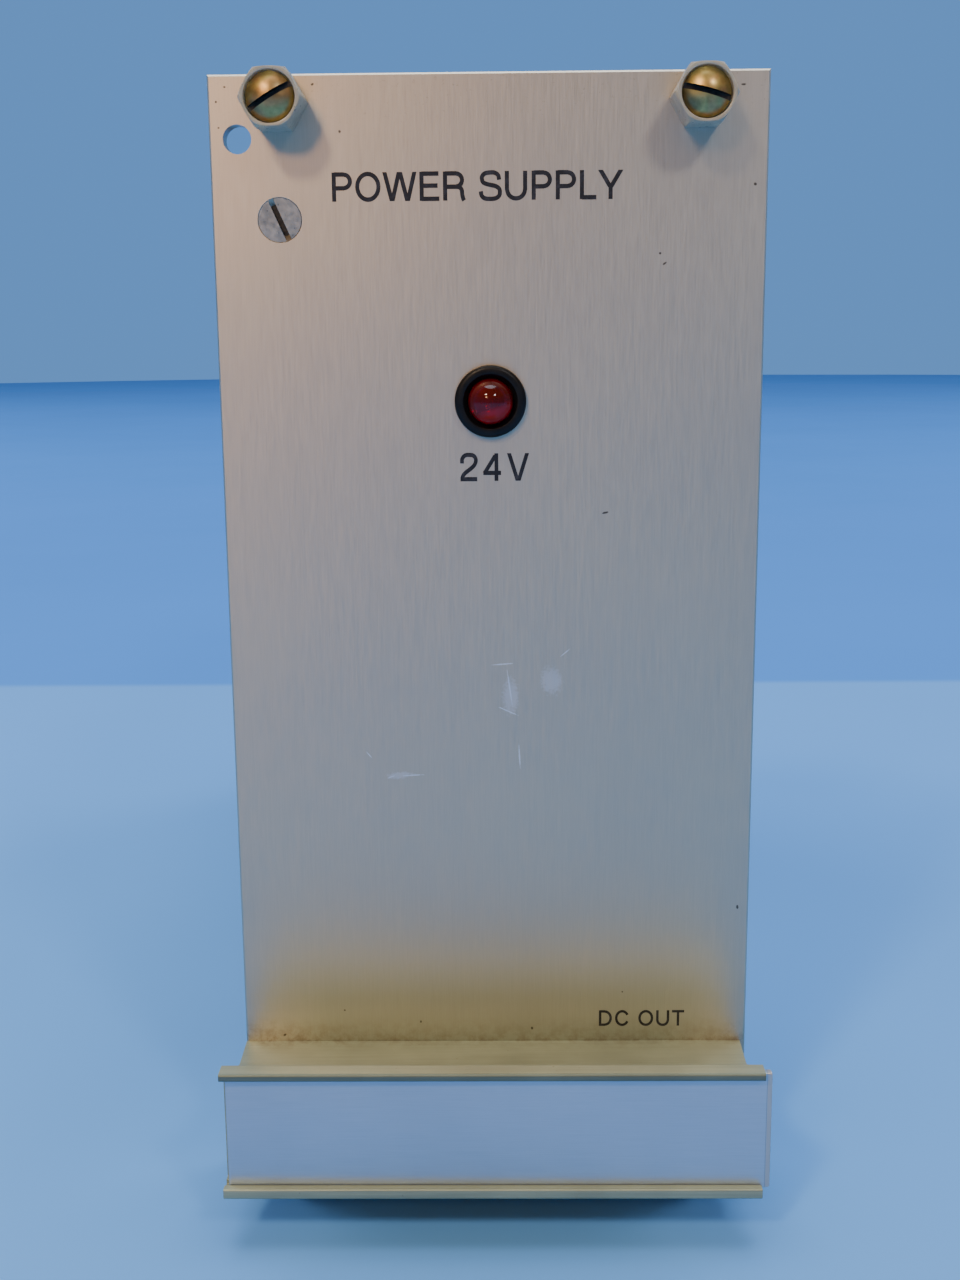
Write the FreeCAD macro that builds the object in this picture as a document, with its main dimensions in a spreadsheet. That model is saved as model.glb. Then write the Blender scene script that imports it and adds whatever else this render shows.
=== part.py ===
"""Plug-in power supply card for a 19-inch rack: 3 units high, 12 pitches wide.

A brushed aluminium front panel carries four captive screws, a lamp and a pull
handle.  Behind it stands a circuit board with the mains transformer, the
rectifier, the regulator and the rear plug.  All lengths are in millimetres.
X runs to the right as seen from the front, Y runs from the front to the rear
and Z runs up.  The origin is on the floor, under the middle of the whole card.
"""
import FreeCAD, Part
import math
import os
import re
import Sketcher

# Each row is an alias, its value and what it measures.
SIZES = (
    ("panel_width", 60.6, "front panel, left to right"),
    ("panel_height", 128.4, "front panel, bottom to top"),
    ("panel_thick", 2.5, "front panel sheet"),
    ("panel_break", 0.2, "chamfer round the front face"),
    ("hole_play", 0.2, "diameter a clearance hole adds to its screw"),
    ("screw_size", 2.5, "thread diameter of every screw"),
    ("screw_slot", 0.6, "width of a screwdriver slot"),
    ("pan_width", 4.5, "pan head diameter"),
    ("pan_height", 1.6, "pan head height"),
    ("nut_flats", 5.0, "nut across flats"),
    ("nut_height", 2.0, "nut height"),
    # Captive screws and their nylon sleeves
    ("collar_side", 7.45, "captive screw axis from the side edge"),
    ("collar_inset", 3.0, "captive screw axis from the top or bottom edge"),
    ("sleeve_flats", 6.0, "sleeve hexagon across flats"),
    ("sleeve_reach", 5.8, "sleeve in front of the panel"),
    ("sleeve_face", 6.3, "round front face of the sleeve"),
    ("sleeve_spigot", 4.6, "sleeve neck that fills the panel hole"),
    ("sleeve_mouth", 5.4, "counterbore that takes the head"),
    ("sleeve_floor", 3.6, "counterbore floor in front of the panel"),
    ("spigot_play", 0.1, "diameter between the neck and the panel hole"),
    ("bore_play", 0.16, "diameter between the shank and what it turns in"),
    ("head_width", 5.1, "captive screw head diameter"),
    ("head_rim", 1.0, "cylindrical part of the head"),
    ("head_dome", 1.1, "domed part of the head"),
    ("slot_depth", 1.2, "screwdriver slot in the captive screw"),
    ("shank_length", 12.3, "captive screw under its head"),
    ("neck_width", 2.3, "plain neck above the captive screw's thread"),
    ("tip_taper", 0.3, "taper at the end of the thread"),
    ("slot_turn_upper_left", 30.0, "slot's angle from level, anticlockwise, in degrees"),
    ("slot_turn_upper_right", -15.0, "the same"),
    ("slot_turn_lower_left", 70.0, "the same"),
    ("slot_turn_lower_right", 10.0, "the same"),
    ("slot_turn_bracket", 114.0, "the same, on the upper bracket's screw"),
    ("washer_width", 4.6, "lock washer outside diameter"),
    ("washer_thick", 0.6, "lock washer thickness"),
    ("washer_gap", 0.5, "split in the lock washer"),
    # Open hole and the countersunk screw of the upper bracket
    ("open_hole", 3.1, "open hole diameter"),
    ("open_side", 3.05, "open hole axis from the left edge"),
    ("open_drop", 6.7, "open hole axis from the top edge"),
    ("sunk_head", 4.7, "countersunk head diameter"),
    ("sunk_slot", 0.6, "depth of the countersunk head's slot"),
    ("sunk_length", 8.0, "countersunk screw, overall"),
    # Lamp
    ("lamp_height", 93.4, "lamp axis above the bottom edge"),
    ("bezel_width", 8.0, "bezel flange diameter"),
    ("bezel_flange", 1.0, "bezel flange thickness"),
    ("bezel_barrel", 6.3, "bezel barrel diameter"),
    ("bezel_depth", 5.2, "bezel barrel behind the panel's face"),
    ("bezel_bore", 5.2, "bezel bore"),
    ("bezel_lead", 0.5, "countersink round the bore"),
    ("ring_width", 8.6, "lock ring outside diameter"),
    ("ring_thick", 2.4, "lock ring thickness"),
    ("lamp_width", 5.0, "lamp body diameter"),
    ("lamp_reach", 0.8, "straight part of the lamp in front of the panel"),
    ("lamp_rim", 5.9, "rim at the rear of the lamp"),
    ("rim_thick", 1.0, "rim thickness"),
    ("lead_pitch", 2.54, "lamp lead spacing"),
    ("lead_width", 0.5, "lamp lead diameter"),
    ("lead_length", 3.0, "lamp lead behind the rim"),
    ("wire_width", 1.2, "insulated wire diameter"),
    # Handle and label strip
    ("handle_short", 0.6, "panel left uncovered at the handle's right end"),
    ("handle_reach", 18.7, "handle in front of the panel"),
    ("handle_drop", 0.25, "handle middle below the board's lower edge"),
    ("handle_tall", 15.1, "handle front, bottom to top"),
    ("web_root", 4.9, "web thickness at the panel"),
    ("web_waist", 4.3, "web thickness where the flare starts"),
    ("flare_start", 5.4, "flare start in front of the panel"),
    ("lip_depth", 2.5, "flat part of the lips"),
    ("flare_radius", 40.0, "hollow of the flare"),
    ("lip_upper", 0.85, "upper lip edge"),
    ("lip_lower", 1.25, "lower lip edge"),
    ("lip_hook", 1.0, "lip in front of the strip's groove"),
    ("strip_groove", 0.5, "groove cut up into each lip"),
    ("strip_thick", 1.0, "label strip thickness"),
    ("strip_play", 0.1, "room round the strip in its groove"),
    ("strip_offset", 0.9, "strip pushed past the right end"),
    ("strip_inset", 0.5, "strip short of the left end"),
    ("recess_depth", 0.8, "recess floor behind the strip"),
    ("tap_depth", 6.4, "threaded hole in the handle"),
    # Circuit board and its brackets
    ("board_margin", 14.2, "board edge from the panel's bottom and top"),
    ("board_side", 2.3, "solder side from the panel's left edge"),
    ("board_thick", 1.6, "board thickness"),
    ("board_gap", 2.5, "board behind the panel"),
    ("board_depth", 160.0, "board, front to rear"),
    ("bracket_wide", 7.0, "bracket flange, left to right"),
    ("bracket_tall", 11.4, "bracket flange, bottom to top"),
    ("flange_thick", 4.0, "bracket flange thickness"),
    ("arm_thick", 3.0, "bracket arm against the board"),
    ("arm_length", 14.0, "bracket, front to rear"),
    ("arm_tall", 4.4, "bracket arm, bottom to top"),
    ("bracket_drop", 1.0, "upper bracket screw below the board's top edge"),
    ("flange_over", 4.4, "flange past its own screw"),
    ("bracket_axis", 3.5, "bracket screw from the board's face"),
    ("arm_screw", 4.5, "arm screw from the rear end of the arm"),
    # Rear plug
    ("plug_reach", 11.0, "plug behind the board"),
    ("plug_seat", 8.0, "plug on the board"),
    ("plug_trim", 2.5, "plug end from the board's edge"),
    ("plug_wide", 16.0, "plug, left to right"),
    ("plug_wall", 1.5, "shell round the blades"),
    ("plug_ear", 6.0, "screw ear at each end of the plug"),
    ("ear_thick", 4.0, "screw ear thickness"),
    ("ear_axis", 3.2, "ear screw from the end of the plug"),
    ("plug_well", 9.0, "depth of the shell"),
    ("blade_pitch", 5.08, "blade to blade"),
    ("blade_wide", 2.4, "blade, bottom to top"),
    ("blade_thick", 0.8, "blade thickness"),
    ("blade_short", 1.5, "blade tip inside the shell's edge"),
    ("blade_row", 10.16, "distance between the two rows of blades"),
    ("tail_length", 3.0, "contact tail in front of the plug"),
    # Transformer
    ("core_long", 66.0, "lamination, bottom to top"),
    ("core_deep", 55.0, "lamination, front to rear"),
    ("core_stack", 23.0, "lamination stack"),
    ("core_leg", 11.0, "outer leg and yoke"),
    ("core_up", 37.8, "core middle above the board's lower edge"),
    ("core_rear", 43.0, "core middle in front of the board's rear edge"),
    ("coil_rise", 1.5, "bobbin off the board"),
    ("bobbin_wall", 1.0, "bobbin wall"),
    ("coil_play", 0.4, "bobbin clear of the core"),
    ("coil_build", 9.0, "winding thickness on the bobbin"),
    ("clamp_thick", 1.2, "steel clamp strap"),
    ("clamp_foot", 9.0, "clamp foot on the board"),
    ("clamp_play", 0.1, "clamp clear of the core"),
    ("clamp_inset", 1.0, "yoke left bare on each side of the strap"),
    # Smoothing capacitors
    ("can_width", 25.0, "smoothing capacitor diameter"),
    ("can_length", 40.0, "smoothing capacitor length"),
    ("can_pitch", 28.0, "one capacitor above the other"),
    ("can_along", 65.0, "capacitor axis behind the board's front edge"),
    ("can_up", 18.0, "lower capacitor above the board's lower edge"),
    # Heatsink and pass transistor
    ("sink_tall", 48.0, "heatsink, bottom to top"),
    ("sink_base", 3.0, "heatsink plate"),
    ("sink_fin", 12.0, "fin in front of the plate"),
    ("fin_thick", 1.2, "fin thickness"),
    ("sink_high", 44.0, "heatsink off the board"),
    ("sink_along", 33.0, "plate behind the board's front edge"),
    ("sink_up", 48.0, "heatsink above the board's lower edge"),
    ("pad_thick", 0.3, "insulating pad"),
    ("case_wide", 10.2, "transistor case width"),
    ("case_tall", 9.2, "transistor moulded body"),
    ("case_thick", 4.4, "transistor moulded body thickness"),
    ("tab_tall", 15.6, "transistor with its metal tab"),
    ("tab_thick", 1.3, "metal tab thickness"),
    ("case_rise", 8.0, "transistor body off the board"),
    ("tab_screw", 2.8, "tab screw from the end of the tab"),
    # Small parts on the board
    ("fuse_width", 5.0, "fuse tube diameter"),
    ("fuse_wall", 0.6, "fuse glass"),
    ("fuse_length", 20.0, "fuse, end to end"),
    ("cap_length", 4.6, "fuse end cap"),
    ("cap_wall", 0.3, "fuse cap metal"),
    ("clip_wide", 4.0, "fuse clip along the fuse"),
    ("clip_thick", 0.4, "fuse clip metal"),
    ("fuse_rise", 5.2, "fuse axis off the board"),
    ("fuse_along", 132.0, "fuse middle behind the board's front edge"),
    ("fuse_up", 82.0, "fuse axis above the board's lower edge"),
    ("bridge_wide", 23.0, "bridge rectifier, front to rear"),
    ("bridge_tall", 17.0, "bridge rectifier off the board"),
    ("bridge_thick", 6.0, "bridge rectifier thickness"),
    ("bridge_along", 65.0, "bridge middle behind the board's front edge"),
    ("bridge_up", 66.0, "bridge above the board's lower edge"),
    ("lead_rise", 3.0, "part held off the board by its leads"),
    ("trimmer_side", 9.6, "trimmer body, square"),
    ("trimmer_thick", 4.8, "trimmer body off the board"),
    ("rotor_width", 5.2, "trimmer screw diameter"),
    ("rotor_play", 0.1, "diameter between the trimmer screw and its seat"),
    ("rotor_depth", 2.0, "trimmer screw in the body"),
    ("rotor_slot", 0.8, "trimmer screw slot"),
    ("trimmer_along", 22.0, "trimmer axis behind the board's front edge"),
    ("trimmer_up", 32.0, "trimmer axis above the board's lower edge"),
    ("cement_long", 25.0, "power resistor length"),
    ("cement_side", 9.0, "power resistor, square section"),
    ("cement_along", 30.0, "power resistor middle behind the board's front edge"),
    ("cement_up", 12.0, "power resistor middle above the board's lower edge"),
    ("film_long", 18.0, "film capacitor, front to rear"),
    ("film_thick", 8.0, "film capacitor, bottom to top"),
    ("film_tall", 14.0, "film capacitor off the board"),
    ("film_along", 104.0, "film capacitor middle behind the board's front edge"),
    ("film_up", 84.0, "film capacitor middle above the board's lower edge"),
    ("small_can_width", 10.0, "output capacitor diameter"),
    ("small_can_length", 17.0, "output capacitor length"),
    ("small_can_along", 36.0, "output capacitor axis behind the board's front edge"),
    ("small_can_up", 32.0, "output capacitor axis above the board's lower edge"),
    ("chip_long", 19.2, "control chip length"),
    ("chip_wide", 6.4, "control chip width"),
    ("chip_thick", 3.4, "control chip body"),
    ("chip_along", 47.0, "control chip middle behind the board's front edge"),
    ("chip_up", 14.0, "control chip above the board's lower edge"),
    ("chip_pitch", 2.54, "control chip leg spacing"),
    ("leg_wide", 0.6, "leg width"),
    ("leg_thick", 0.3, "leg thickness"),
    ("resistor_width", 2.4, "resistor body diameter"),
    ("resistor_long", 6.4, "resistor body length"),
    ("resistor_pitch", 5.08, "one resistor above the other"),
    ("resistor_along", 11.0, "resistor middle behind the board's front edge"),
    ("resistor_up", 27.0, "lowest resistor above the board's lower edge"),
    ("axial_reach", 5.0, "bent lead from the middle of a resistor or diode"),
    ("diode_width", 5.0, "diode body diameter"),
    ("diode_long", 9.0, "diode body length"),
    ("diode_pitch", 8.0, "one diode above the other"),
    ("diode_along", 88.0, "diode middle behind the board's front edge"),
    ("diode_up", 84.0, "lower diode above the board's lower edge"),
    ("diode_reach", 6.4, "bent diode lead from the middle of the diode"),
    ("disc_width", 12.0, "surge arrester diameter"),
    ("disc_thick", 4.0, "surge arrester thickness"),
    ("disc_along", 118.0, "surge arrester behind the board's front edge"),
    ("disc_up", 84.0, "surge arrester above the board's lower edge"),
)
RESISTORS = 6
CHIP_LEGS = 7
BLADES = 15
FINS = 9
LEFT, RIGHT = -1, 1
BOTTOM, TOP = -1, 1

# Names of places that several pieces share, as expressions on the sheet
FACE_Y = ("(handle_reach - panel_thick - board_gap - board_depth - plug_reach) / 2")
BOARD_LEFT = "(board_side - panel_width / 2)"
BOARD_FACE = "(board_side + board_thick - panel_width / 2)"
BOARD_FRONT = "(panel_thick + board_gap)"
BOARD_REAR = "(panel_thick + board_gap + board_depth)"
BOARD_TOP = "(panel_height - board_margin)"
HANDLE_UP = "(board_margin - handle_drop)"
BRACKET_X = "(board_side + board_thick + bracket_axis - panel_width / 2)"
SCREW_HOLE = "(screw_size + hole_play) / 2"
FREE_BORE = "(screw_size + bore_play) / 2"
HEAD_SEAT = "(sleeve_floor + washer_thick)"
CLAMP_WIDE = "(core_leg - 2 * clamp_inset)"
PLUG_LONG = "(panel_height - 2 * board_margin - 2 * plug_trim)"

UPRIGHT = FreeCAD.Rotation()
OWN_AXIS = FreeCAD.Vector(0, 0, 1)
FORWARD = FreeCAD.Rotation(FreeCAD.Vector(1, 0, 0), 90)
BACKWARD = FreeCAD.Rotation(FreeCAD.Vector(1, 0, 0), -90)
RIGHTWARD = FreeCAD.Rotation(FreeCAD.Vector(0, 1, 0), 90)
LEFTWARD = FreeCAD.Rotation(FreeCAD.Vector(0, 1, 0), -90)

doc = FreeCAD.newDocument("plug_in_power_supply")
sheet = doc.addObject("Spreadsheet::Sheet", "Sizes")
nodes = []


def fill_sheet():
    """Write every driving dimension to the sheet, with its alias and its note."""
    for row, (alias, value, note) in enumerate(SIZES, start=1):
        sheet.set("A%d" % row, alias)
        sheet.set("B%d" % row, str(value))
        sheet.set("C%d" % row, note)
        sheet.setAlias("B%d" % row, alias)
    doc.recompute()


def formula(text):
    """Every alias has an underscore in it, which is how an expression's names are found."""
    return re.sub(r"\b([a-z]+(?:_[a-z]+)+)\b", r"Sizes.\1", text)


def number(text):
    return float(sheet.evalExpression(formula(text)))


def bind(obj, prop, text):
    obj.setExpression(prop, formula(text))


def put(obj, spot, turn=UPRIGHT):
    """Turn an object and bind its place to three expressions."""
    obj.Placement = FreeCAD.Placement(FreeCAD.Vector(), turn)
    for axis, text in zip("xyz", spot):
        bind(obj, "Placement.Base." + axis, text)
    return obj


def node(label, obj, spot=("0", "0", "0"), turn=UPRIGHT):
    """Name a finished sub-part and place it; spot's second value counts back from the panel's face."""
    obj.Label = label
    put(obj, (spot[0], FACE_Y + " + " + spot[1], spot[2]), turn)
    nodes.append(obj)
    return obj


# ---------------------------------------------------------------- building blocks

def box(size, spot):
    obj = doc.addObject("Part::Box", "block")
    for side, text in zip(("Length", "Width", "Height"), size):
        bind(obj, side, text)
    return put(obj, spot)


def rod(radius, length, spot, turn=UPRIGHT):
    obj = doc.addObject("Part::Cylinder", "rod")
    bind(obj, "Radius", radius)
    bind(obj, "Height", length)
    return put(obj, spot, turn)


def cone(near, far, length, spot, turn=UPRIGHT):
    obj = doc.addObject("Part::Cone", "cone")
    bind(obj, "Radius1", near)
    bind(obj, "Radius2", far)
    bind(obj, "Height", length)
    return put(obj, spot, turn)


def hexagon(flats, length, spot, turn=UPRIGHT):
    """A prism with two of its flats level once it has been turned to face forward."""
    obj = doc.addObject("Part::Prism", "hexagon")
    obj.Polygon = 6
    bind(obj, "Circumradius", "(%s) / sqrt(3)" % flats)
    bind(obj, "Height", length)
    return put(obj, spot, turn)


def fuse(items):
    obj = doc.addObject("Part::MultiFuse", "fused")
    obj.Shapes = items
    return obj


def group(items):
    """Several separate solids that are one node."""
    obj = doc.addObject("Part::Compound", "group")
    obj.Links = items
    return obj


def cut(base, tools):
    obj = doc.addObject("Part::Cut", "cut")
    obj.Base = base
    obj.Tool = tools[0] if len(tools) == 1 else fuse(tools)
    return obj


def common(base, tool):
    obj = doc.addObject("Part::Common", "common")
    obj.Base = base
    obj.Tool = tool
    return obj


def sketch_on(body, role):
    plane = [item for item in body.Origin.OriginFeatures if item.Role == role][0]
    sketch = body.newObject("Sketcher::SketchObject", "sketch")
    sketch.AttachmentSupport = (plane, [""])
    sketch.MapMode = "FlatFace"
    return sketch


def pin_point(sketch, edge, end, spot):
    """Dimension one point of a sketch from its origin."""
    for kind, text in zip(("DistanceX", "DistanceY"), spot):
        index = sketch.addConstraint(Sketcher.Constraint(kind, -1, 1, edge, end, number(text)))
        bind(sketch, "Constraints[%d]" % index, text)


def arc_between(start, finish, radius):
    """The short arc that leaves start; a positive radius turns left and a negative one right."""
    chord = finish - start
    side = math.copysign(1.0, radius)
    middle = (start + finish) / 2
    rise = math.sqrt(max(radius ** 2 - (chord.Length / 2) ** 2, 0.0))
    normal = FreeCAD.Vector(-chord.y, chord.x, 0).normalize()
    centre = middle + normal * rise * side
    first, last = (start, finish) if side > 0 else (finish, start)
    circle = Part.Circle(centre, FreeCAD.Vector(0, 0, 1), abs(radius))
    angles = [math.atan2(end.y - centre.y, end.x - centre.x) for end in (first, last)]
    return Part.ArcOfCircle(circle, angles[0], angles[1])


def outline(sketch, corners):
    """Draw a closed outline; a corner of three values starts an arc of that radius."""
    spots = [FreeCAD.Vector(number(corner[0]), number(corner[1]), 0) for corner in corners]
    count = len(corners)
    ends = []
    for index, corner in enumerate(corners):
        start, finish = spots[index], spots[(index + 1) % count]
        if len(corner) == 3:
            radius = number(corner[2])
            edge = sketch.addGeometry(arc_between(start, finish, radius), False)
            ends.append((edge, 1, 2) if radius > 0 else (edge, 2, 1))
        else:
            edge = sketch.addGeometry(Part.LineSegment(start, finish), False)
            ends.append((edge, 1, 2))
    for index in range(count):
        here, following = ends[index], ends[(index + 1) % count]
        sketch.addConstraint(Sketcher.Constraint("Coincident", here[0], here[2], following[0], following[1]))
    for index, corner in enumerate(corners):
        pin_point(sketch, ends[index][0], ends[index][1], corner[:2])
        if len(corner) == 3:
            size = Sketcher.Constraint("Radius", ends[index][0], abs(number(corner[2])))
            bind(sketch, "Constraints[%d]" % sketch.addConstraint(size), "abs(%s)" % corner[2])


def circles(sketch, items):
    """Draw full circles, each with a radius and a place."""
    for radius, across, up in items:
        centre = FreeCAD.Vector(number(across), number(up), 0)
        circle = Part.Circle(centre, FreeCAD.Vector(0, 0, 1), number(radius))
        edge = sketch.addGeometry(circle, False)
        size = Sketcher.Constraint("Radius", edge, number(radius))
        bind(sketch, "Constraints[%d]" % sketch.addConstraint(size), radius)
        pin_point(sketch, edge, 3, (across, up))


def extruded(role, corners, length, reverse=False):
    """Pad an outline away from one of the body's own planes."""
    body = doc.addObject("PartDesign::Body", "extruded")
    sketch = sketch_on(body, role)
    outline(sketch, corners)
    pad = body.newObject("PartDesign::Pad", "pad")
    pad.Profile = sketch
    pad.Reversed = reverse
    bind(pad, "Length", length)
    return body


def turned(corners):
    """Turn an outline of radius and height about the body's upright axis."""
    body = doc.addObject("PartDesign::Body", "turned")
    sketch = sketch_on(body, "XZ_Plane")
    outline(sketch, corners)
    spin = body.newObject("PartDesign::Revolution", "revolution")
    spin.Profile = sketch
    spin.ReferenceAxis = (sketch, ["V_Axis"])
    spin.Angle = 360
    return body


def pocket(body, role, items, reverse):
    """Cut round holes right through a body; a hole that misses the solid is an error."""
    doc.recompute()
    before = body.Shape.Volume
    sketch = sketch_on(body, role)
    circles(sketch, items)
    hole = body.newObject("PartDesign::Pocket", "pocket")
    hole.Profile = sketch
    hole.Type = "ThroughAll"
    hole.Reversed = reverse
    doc.recompute()
    if not body.Shape.Volume < before:
        raise RuntimeError("a pocket cuts nothing from " + body.Label)


def bent_tube(radius, points):
    """A tube along straight runs joined by tangent arcs, with the radii that the runs allow."""
    edges = []
    last = points[0]
    for before, here, after in zip(points, points[1:], points[2:]):
        back, ahead = (before - here), (after - here)
        half_turn = (math.pi - back.getAngle(ahead)) / 2
        reach = 0.45 * min(back.Length, ahead.Length)
        print("bend radius %.1f mm" % (reach / math.tan(half_turn)))
        entry = here + back.normalize() * reach
        leave = here + ahead.normalize() * reach
        edges.append(Part.LineSegment(last, entry).toShape())
        edges.append(tangent_arc(entry, leave, here, half_turn, reach))
        last = leave
    edges.append(Part.LineSegment(last, points[-1]).toShape())
    path = Part.Wire(edges)
    start = Part.Circle(points[0], points[1] - points[0], radius).toShape()
    return path.makePipeShell([Part.Wire([start])], True, False)


def tangent_arc(entry, leave, corner, half_turn, reach):
    """The arc that touches both runs at the same distance from their corner."""
    inward = ((entry + leave) / 2 - corner).normalize()
    radius = reach / math.tan(half_turn)
    centre = corner + inward * math.hypot(radius, reach)
    return Part.Arc(entry, centre - inward * radius, leave).toShape()


# ---------------------------------------------------------------- front panel

def collar_spots():
    """The four captive screws: name, distance from the middle and height."""
    for up, high in ((BOTTOM, "collar_inset"), (TOP, "(panel_height - collar_inset)")):
        for side in (LEFT, RIGHT):
            name = "%s_%s" % ("upper" if up == TOP else "lower", "left" if side == LEFT else "right")
            yield name, "%d * (panel_width / 2 - collar_side)" % side, high


def front_panel():
    half = "panel_width / 2"
    corners = (("-" + half, "0"), (half, "0"), (half, "panel_height"), ("-" + half, "panel_height"))
    body = extruded("XZ_Plane", corners, "panel_thick", reverse=True)
    doc.recompute()
    pad = body.Tip
    front = [index for index, face in enumerate(pad.Shape.Faces, start=1)
             if face.normalAt(0, 0).y < -0.9]
    bevel = body.newObject("PartDesign::Chamfer", "front_edges")
    bevel.Base = (pad, ["Face%d" % front[0]])
    bind(bevel, "Size", "panel_break")
    holes = [("(sleeve_spigot + spigot_play) / 2", across, high) for _, across, high in collar_spots()]
    holes += [
        ("open_hole / 2", "open_side - panel_width / 2", "panel_height - open_drop"),
        ("(bezel_barrel + hole_play) / 2", "0", "lamp_height"),
        (SCREW_HOLE, BRACKET_X, "%s - bracket_drop" % BOARD_TOP),
        (SCREW_HOLE, BRACKET_X, HANDLE_UP),
        (SCREW_HOLE, "0 - " + BRACKET_X, HANDLE_UP),
    ]
    pocket(body, "XZ_Plane", holes, reverse=False)
    wide = "(sunk_head + hole_play) / 2"
    sink = cone(wide, "screw_size / 2", "%s - screw_size / 2" % wide,
                (BRACKET_X, "0", "%s - bracket_drop" % BOARD_TOP), BACKWARD)
    node("front_panel", cut(body, [sink]))


def collar_sleeve(name, across, high):
    """Nylon hexagon with a round front face, a neck in the panel and a counterbore."""
    flats = hexagon("sleeve_flats", "sleeve_reach", ("0", "0", "0"))
    corner = "sleeve_flats / sqrt(3)"
    taper = cone("(%s + sleeve_reach)" % corner, "sleeve_face / 2",
                 "(%s + sleeve_reach - sleeve_face / 2)" % corner,
                 ("0", "0", "sleeve_face / 2 - %s" % corner))
    neck = rod("sleeve_spigot / 2", "panel_thick", ("0", "0", "-panel_thick"))
    mouth = rod("sleeve_mouth / 2", "sleeve_reach - sleeve_floor", ("0", "0", "sleeve_floor"))
    bore = rod(FREE_BORE, "panel_thick + sleeve_reach", ("0", "0", "-panel_thick"))
    solid = cut(fuse([common(flats, taper), neck]), [mouth, bore])
    node("collar_sleeve_" + name, solid, (across, "0", high), FORWARD)


def lock_washer(name, across, high):
    """Split washer that stays under the head and slides with the screw."""
    ring = rod("washer_width / 2", "washer_thick", ("0", "0", "0"))
    hole = rod(FREE_BORE, "washer_thick", ("0", "0", "0"))
    split = box(("washer_width", "washer_gap", "washer_thick"), ("0", "-washer_gap / 2", "0"))
    node("lock_washer_" + name, cut(ring, [hole, split]), (across, "-sleeve_floor", high), FORWARD)


def captive_screw(name, across, high):
    """Domed cheese head and a plain neck; the thread behind the panel enters the rack's rail."""
    radius, dome = "head_width / 2", "head_dome"
    swell = "((%s) ^ 2 + %s ^ 2) / (2 * %s)" % (radius, dome, dome)
    blank = turned((
        ("0", "-shank_length"),
        ("screw_size / 2 - tip_taper", "-shank_length"),
        ("screw_size / 2", "tip_taper - shank_length"),
        ("screw_size / 2", "-panel_thick - " + HEAD_SEAT),
        ("neck_width / 2", "-panel_thick - " + HEAD_SEAT),
        ("neck_width / 2", "0"),
        (radius, "0"),
        (radius, "head_rim", swell),
        ("0", "head_rim + head_dome"),
    ))
    slot = box(("head_width", "screw_slot", "slot_depth"),
               ("-head_width / 2", "-screw_slot / 2", "head_rim + head_dome - slot_depth"))
    turn = FreeCAD.Rotation(OWN_AXIS, number("slot_turn_" + name))
    node("captive_screw_" + name, cut(blank, [slot]), (across, "-" + HEAD_SEAT, high), FORWARD * turn)


def captive_screws():
    for name, across, high in collar_spots():
        collar_sleeve(name, across, high)
        lock_washer(name, across, high)
        captive_screw(name, across, high)


def bracket_screw():
    """Countersunk screw through the panel into the upper bracket."""
    blank = turned((
        ("0", "0"),
        ("sunk_head / 2", "0"),
        ("screw_size / 2", "screw_size / 2 - sunk_head / 2"),
        ("screw_size / 2", "-sunk_length"),
        ("0", "-sunk_length"),
    ))
    slot = box(("sunk_head", "screw_slot", "sunk_slot"), ("-sunk_head / 2", "-screw_slot / 2", "-sunk_slot"))
    spot = (BRACKET_X, "panel_break / 4", "%s - bracket_drop" % BOARD_TOP)
    turn = FreeCAD.Rotation(OWN_AXIS, number("slot_turn_bracket"))
    node("bracket_screw", cut(blank, [slot]), spot, FORWARD * turn)


# ---------------------------------------------------------------- lamp

def lamp():
    """Black bezel with its lock ring, and a red lamp with two leads."""
    barrel, flange = "bezel_barrel / 2", "bezel_width / 2"
    bezel = turned((
        ("bezel_bore / 2", "-bezel_depth"),
        (barrel, "-bezel_depth"),
        (barrel, "0"),
        (flange, "0"),
        (flange, "bezel_flange / 2", "bezel_flange / 2"),
        ("bezel_width / 2 - bezel_flange / 2", "bezel_flange"),
        ("bezel_bore / 2 + bezel_lead", "bezel_flange"),
        ("bezel_bore / 2", "bezel_flange - bezel_lead"),
    ))
    node("lamp_bezel", bezel, ("0", "0", "lamp_height"), FORWARD)
    ring = cut(rod("ring_width / 2", "ring_thick", ("0", "0", "0")),
               [rod(barrel, "ring_thick", ("0", "0", "0"))])
    node("lamp_lock_ring", ring, ("0", "panel_thick", "lamp_height"), BACKWARD)
    lens = turned((
        ("0", "-bezel_depth - rim_thick"),
        ("lamp_rim / 2", "-bezel_depth - rim_thick"),
        ("lamp_rim / 2", "-bezel_depth"),
        ("lamp_width / 2", "-bezel_depth"),
        ("lamp_width / 2", "lamp_reach", "lamp_width / 2"),
        ("0", "lamp_reach + lamp_width / 2"),
    ))
    node("lamp", lens, ("0", "0", "lamp_height"), FORWARD)
    leads = [rod("lead_width / 2", "lead_length", ("%d * lead_pitch / 2" % side, "0", "0"))
             for side in (LEFT, RIGHT)]
    node("lamp_leads", group(leads), ("0", "bezel_depth + rim_thick", "lamp_height"), BACKWARD)


def lamp_wires():
    """Two insulated wires from the lamp's leads to the board, each with a gentle slack."""
    start_y = number("bezel_depth + rim_thick + lead_length")
    start_z = number("lamp_height")
    board_x = number(BOARD_FACE)
    for side, name in ((LEFT, "lamp_wire_minus"), (RIGHT, "lamp_wire_plus")):
        start = FreeCAD.Vector(number("%d * lead_pitch / 2" % side), start_y, start_z)
        landing = FreeCAD.Vector(board_x, start_y + 11.5 + side, start_z - 12.0 + 3.5 * side)
        points = [
            start,
            start + FreeCAD.Vector(0, 7.0 + side, 0),
            start + FreeCAD.Vector(-6.5, 10.5 + 1.5 * side, 2.0 * side - 3.5),
            landing + FreeCAD.Vector(10.5, 0, 0),
            landing,
        ]
        wire = doc.addObject("Part::Feature", "wire")
        wire.Shape = bent_tube(number("wire_width / 2"), points)
        node(name, wire)


# ---------------------------------------------------------------- handle

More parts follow.
